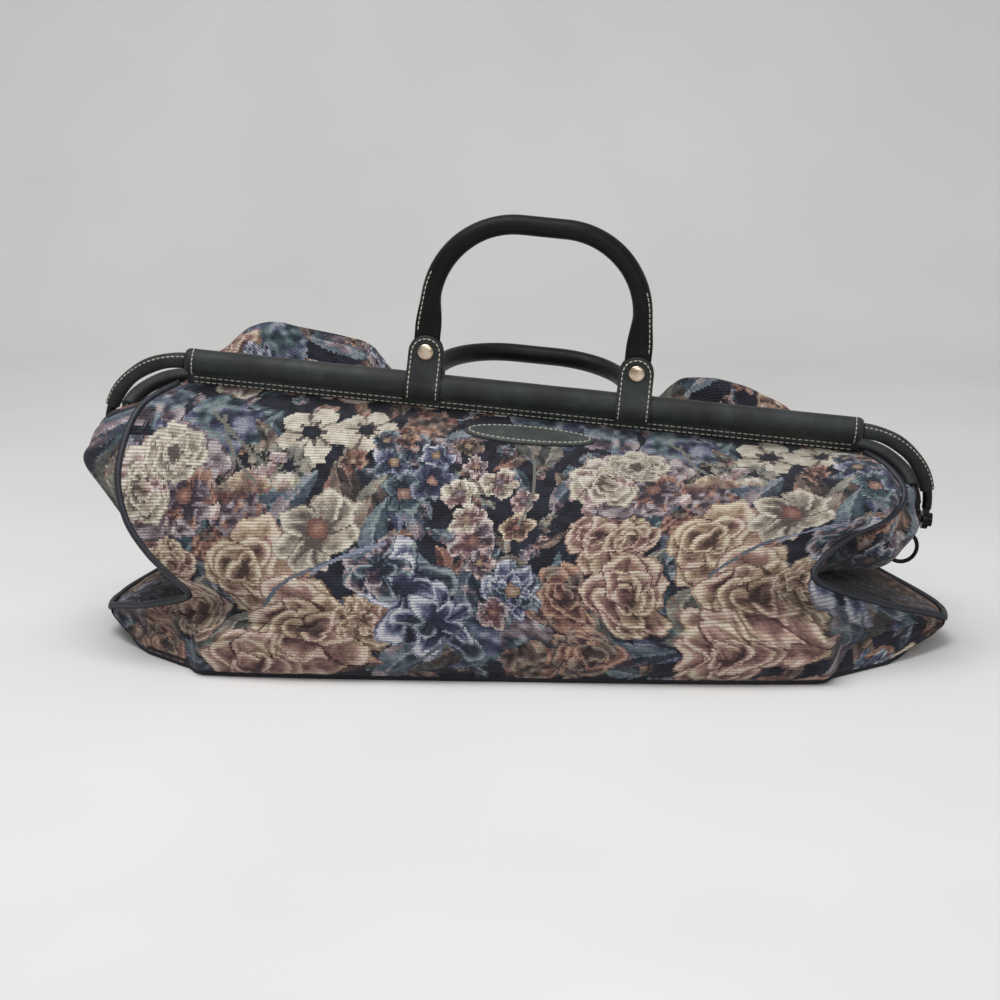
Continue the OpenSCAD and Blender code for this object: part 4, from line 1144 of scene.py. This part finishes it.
def end_half(name, side, half):
    """One half of an end panel, from the middle line to its front or back seam."""
    across = np.linspace(-1, 1, END_COLUMNS + 1) * (1 - SEAM_ALLOWANCE / HALF_D)
    q, v = np.meshgrid(across, np.linspace(0, LAST_ROW, PANEL_ROWS + 1))
    points = end_at(side, side * q, v)
    u, w = arcs(points, 0)
    slack = GATHER[side] * bell((side * q + 0.6) / 0.4) * smooth((v - 8.2) / 1.2)
    points = pushed(points, end_wrinkles(u, w, q, v)) + slack[..., None] * np.array([0.7 * side, 0, 0.7])
    middle = END_COLUMNS // 2
    keep = slice(0, middle + 1) if (half == "front") == (side > 0) else slice(middle, None)
    points, u, w, shade = (a[:, keep] for a in (points, u + END_OFFSET[side], w, end_painted_shade(v)))
    sewn_panel(f"{name}_end_{half}", points, u, w, shade, name + "_end_panel")


def carried(path):
    """A direction square to a path, carried along it without twisting."""
    a, found = np.array([0.3, 0.2, 0.9]), []
    for t in unit(np.gradient(path, axis=0)):
        a = a - (a @ t) * t
        a = a / np.linalg.norm(a)
        found.append(a)
    return np.array(found)


# How far the cord stands off the seam at the corners of the base, and its points down the seam and across
PIPING_STAND, SEAM_POINTS, CROSS_POINTS = 1.0, 150, 39


def piping_half(name, side, half):
    """The corded seam from a bar end down and round to the middle of the end panel."""
    sign = -1 if half == "front" else 1
    down, h = np.linspace(LAST_ROW - 0.1, CORNER_ROW, SEAM_POINTS), 0.05
    q = np.concatenate([np.full(SEAM_POINTS, float(sign)), np.linspace(sign, 0, CROSS_POINTS + 1)[1:]])
    v = np.concatenate([down, np.full(CROSS_POINTS, float(CORNER_ROW))])
    along = end_at(side, np.minimum(q + h, 1), v) - end_at(side, np.maximum(q - h, -1), v)
    up = end_at(side, q, v + h) - end_at(side, q, v - h)
    out = side * unit(np.cross(along, up))
    points = end_at(side, q, v) + (PIPING_STAND * smooth(CORNER_ROW + 1 - v))[:, None] * out
    points = resampled(points, 2.0)
    shape = sweep(points, carried(points), PIPING_R, PIPING_R, 2, 14)
    piece = make_piece(f"{name}_piping_{half}", *shape, cord)
    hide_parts(name + "_piping")
    bend_with(piece)


def stiff(name, body, shape, material, node=None, place=np.eye(4)):
    """A stiff piece that rides on a body, and stands for a node of the solids if one is named."""
    points, faces = shape
    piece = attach(make_piece(name, moved(place, points), faces, material), body)
    if node:
        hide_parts(node)


def frame_half(half):
    """Leather over one half of the frame, and its threads."""
    body, place, turn = half + "_frame", ON_BAR[half], FLANGE_TURN[half]
    step = 0 if half == "front" else ARM_STEP
    sleeve = joined([bar_sleeve(), flange(turn)])
    stiff(half + "_sleeve", body, sleeve, leather, half + "_bar_sleeve", place)
    threads = [sleeve_threads(turn)]
    for name, side in SIDES.items():
        cover = f"{half}_{name}_cover"
        stiff(cover, body, arm_cover(side, step), leather, f"{half}_{name}_arm_cover", place)
        threads.append(arm_threads(side, step))
    stiff(half + "_frame_threads", body, joined(threads), thread, place=place)


def handle_set(half):
    """A handle, its tabs, rivets and threads."""
    body, place = half + "_handle_set", ON_HANDLE[half]
    stiff(half + "_grip", body, handle(), grip_leather, half + "_handle", place)
    threads = [handle_threads()]
    for name, side in SIDES.items():
        stiff(f"{half}_{name}_tab", body, tab(side), leather, f"{half}_{name}_handle_tab", place)
        stiff(f"{half}_{name}_caps", body, rivet(side), rivet_metal, f"{half}_{name}_rivet", place)
        threads.append(tab_threads(side))
    stiff(half + "_handle_threads", body, joined(threads), thread, place=place)


def node_look(name):
    """The material of a node of the solids that still shows."""
    if "chape" in name:
        return leather
    if "dowel" in name:
        return wood
    if "board" in name:
        return board
    return ring_metal


long_panel("front", front_at, (FRONT_BAR, FRONT_DOWN, FRONT_OUT), front_wrinkles, sign=1, offset=0, own=0)
long_panel("back", back_at, (BACK_BAR, BACK_DOWN, BACK_OUT), back_wrinkles, sign=-1, offset=140, own=0.75)
for end_name, end_side in SIDES.items():
    for half_name in LEAN:
        end_half(end_name, end_side, half_name)
        piping_half(end_name, end_side, half_name)
for half_name in LEAN:
    frame_half(half_name)
    handle_set(half_name)
stiff("base_cloth", "bag_body", base_cloth(), base_canvas, "base_panel")
stiff("oval_patch", "front_frame", patch(), patch_leather, "leather_patch")
stiff("oval_patch_threads", "front_frame", patch_threads(), thread)

for node_name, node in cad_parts.items():
    if not node.hide_render:
        node.data.materials.clear()
        node.data.materials.append(node_look(node_name))


# The backdrop in metres: its bend, where the floor ends behind and in front, its height and half its width
SWEEP_R, FLOOR_BACK, FLOOR_FRONT, WALL_TOP, HALF_WIDE = 0.5, 1.2, 2.2, 3.0, 3


def backdrop():
    """A pale floor that sweeps up behind the bag."""
    a = np.radians(np.linspace(-90, 0, 24))
    line = [(-FLOOR_FRONT, 0.0), (FLOOR_BACK, 0.0)]
    line += [(FLOOR_BACK + SWEEP_R * math.cos(t), SWEEP_R + SWEEP_R * math.sin(t)) for t in a]
    line += [(FLOOR_BACK + SWEEP_R, WALL_TOP)]
    x = np.linspace(-HALF_WIDE, HALF_WIDE, 5)
    points = np.array([[(px, y, z) for px in x] for y, z in line]) / MM
    look = Look("pale_paper")
    tint = look.ramp(look.noise(3, 2), [(0.3, "#dfdfde"), (0.7, "#e6e6e5")])
    look.set(Base_Color=tint, Roughness=0.9, Specular_IOR_Level=0.1)
    look.clear_from_behind()
    piece = make_piece("backdrop", points, grid_faces(*points.shape[:2]), look.material)


LAMP_AIM, WORLD_LIGHT = (0, 0, 0.1), 0.34


def softbox(name, place, size, power):
    """A lamp of a size in metres, aimed at the bag."""
    lamp = bpy.data.lights.new(name, "AREA")
    lamp.shape = "RECTANGLE"
    lamp.size, lamp.size_y = size
    lamp.energy = power
    piece = bpy.data.objects.new(name, lamp)
    piece.location = place
    piece.rotation_euler = (Vector(LAMP_AIM) - Vector(place)).to_track_quat("-Z", "Y").to_euler()
    bpy.context.scene.collection.objects.link(piece)


def studio():
    backdrop()
    softbox("top_softbox", (-0.3, -0.4, 1.9), (1.5, 1.1), 27)
    softbox("front_softbox", (0.5, -2.0, 1.1), (1.4, 0.9), 10)
    world = bpy.data.worlds.new("studio")
    world.use_nodes = True
    world.node_tree.nodes["Background"].inputs["Color"].default_value = (1.0, 1.0, 1.0, 1)
    world.node_tree.nodes["Background"].inputs["Strength"].default_value = WORLD_LIGHT
    bpy.context.scene.world = world
    bpy.context.scene.view_settings.view_transform = "Standard"


# The camera: metres from where it looks, degrees round and up, and lens as a share of the sensor's width
CAMERA_FROM, CAMERA_AROUND, CAMERA_UP, FOCAL, SENSOR = 1.6, 2.8, 13.0, 2.176, 36
LOOK_AT = (-0.0111, 0, 0.102)


def camera():
    """The photograph's view: a long lens a little above and to the right."""
    level = cosd(CAMERA_UP)
    back = Vector((sind(CAMERA_AROUND) * level, -cosd(CAMERA_AROUND) * level, sind(CAMERA_UP)))
    data = bpy.data.cameras.new("photo_camera")
    data.sensor_width = SENSOR
    data.lens = SENSOR * FOCAL
    piece = bpy.data.objects.new("photo_camera", data)
    piece.location = Vector(LOOK_AT) + CAMERA_FROM * back
    piece.rotation_euler = (-back).to_track_quat("-Z", "Y").to_euler()
    bpy.context.scene.collection.objects.link(piece)
    bpy.context.scene.camera = piece


studio()
camera()
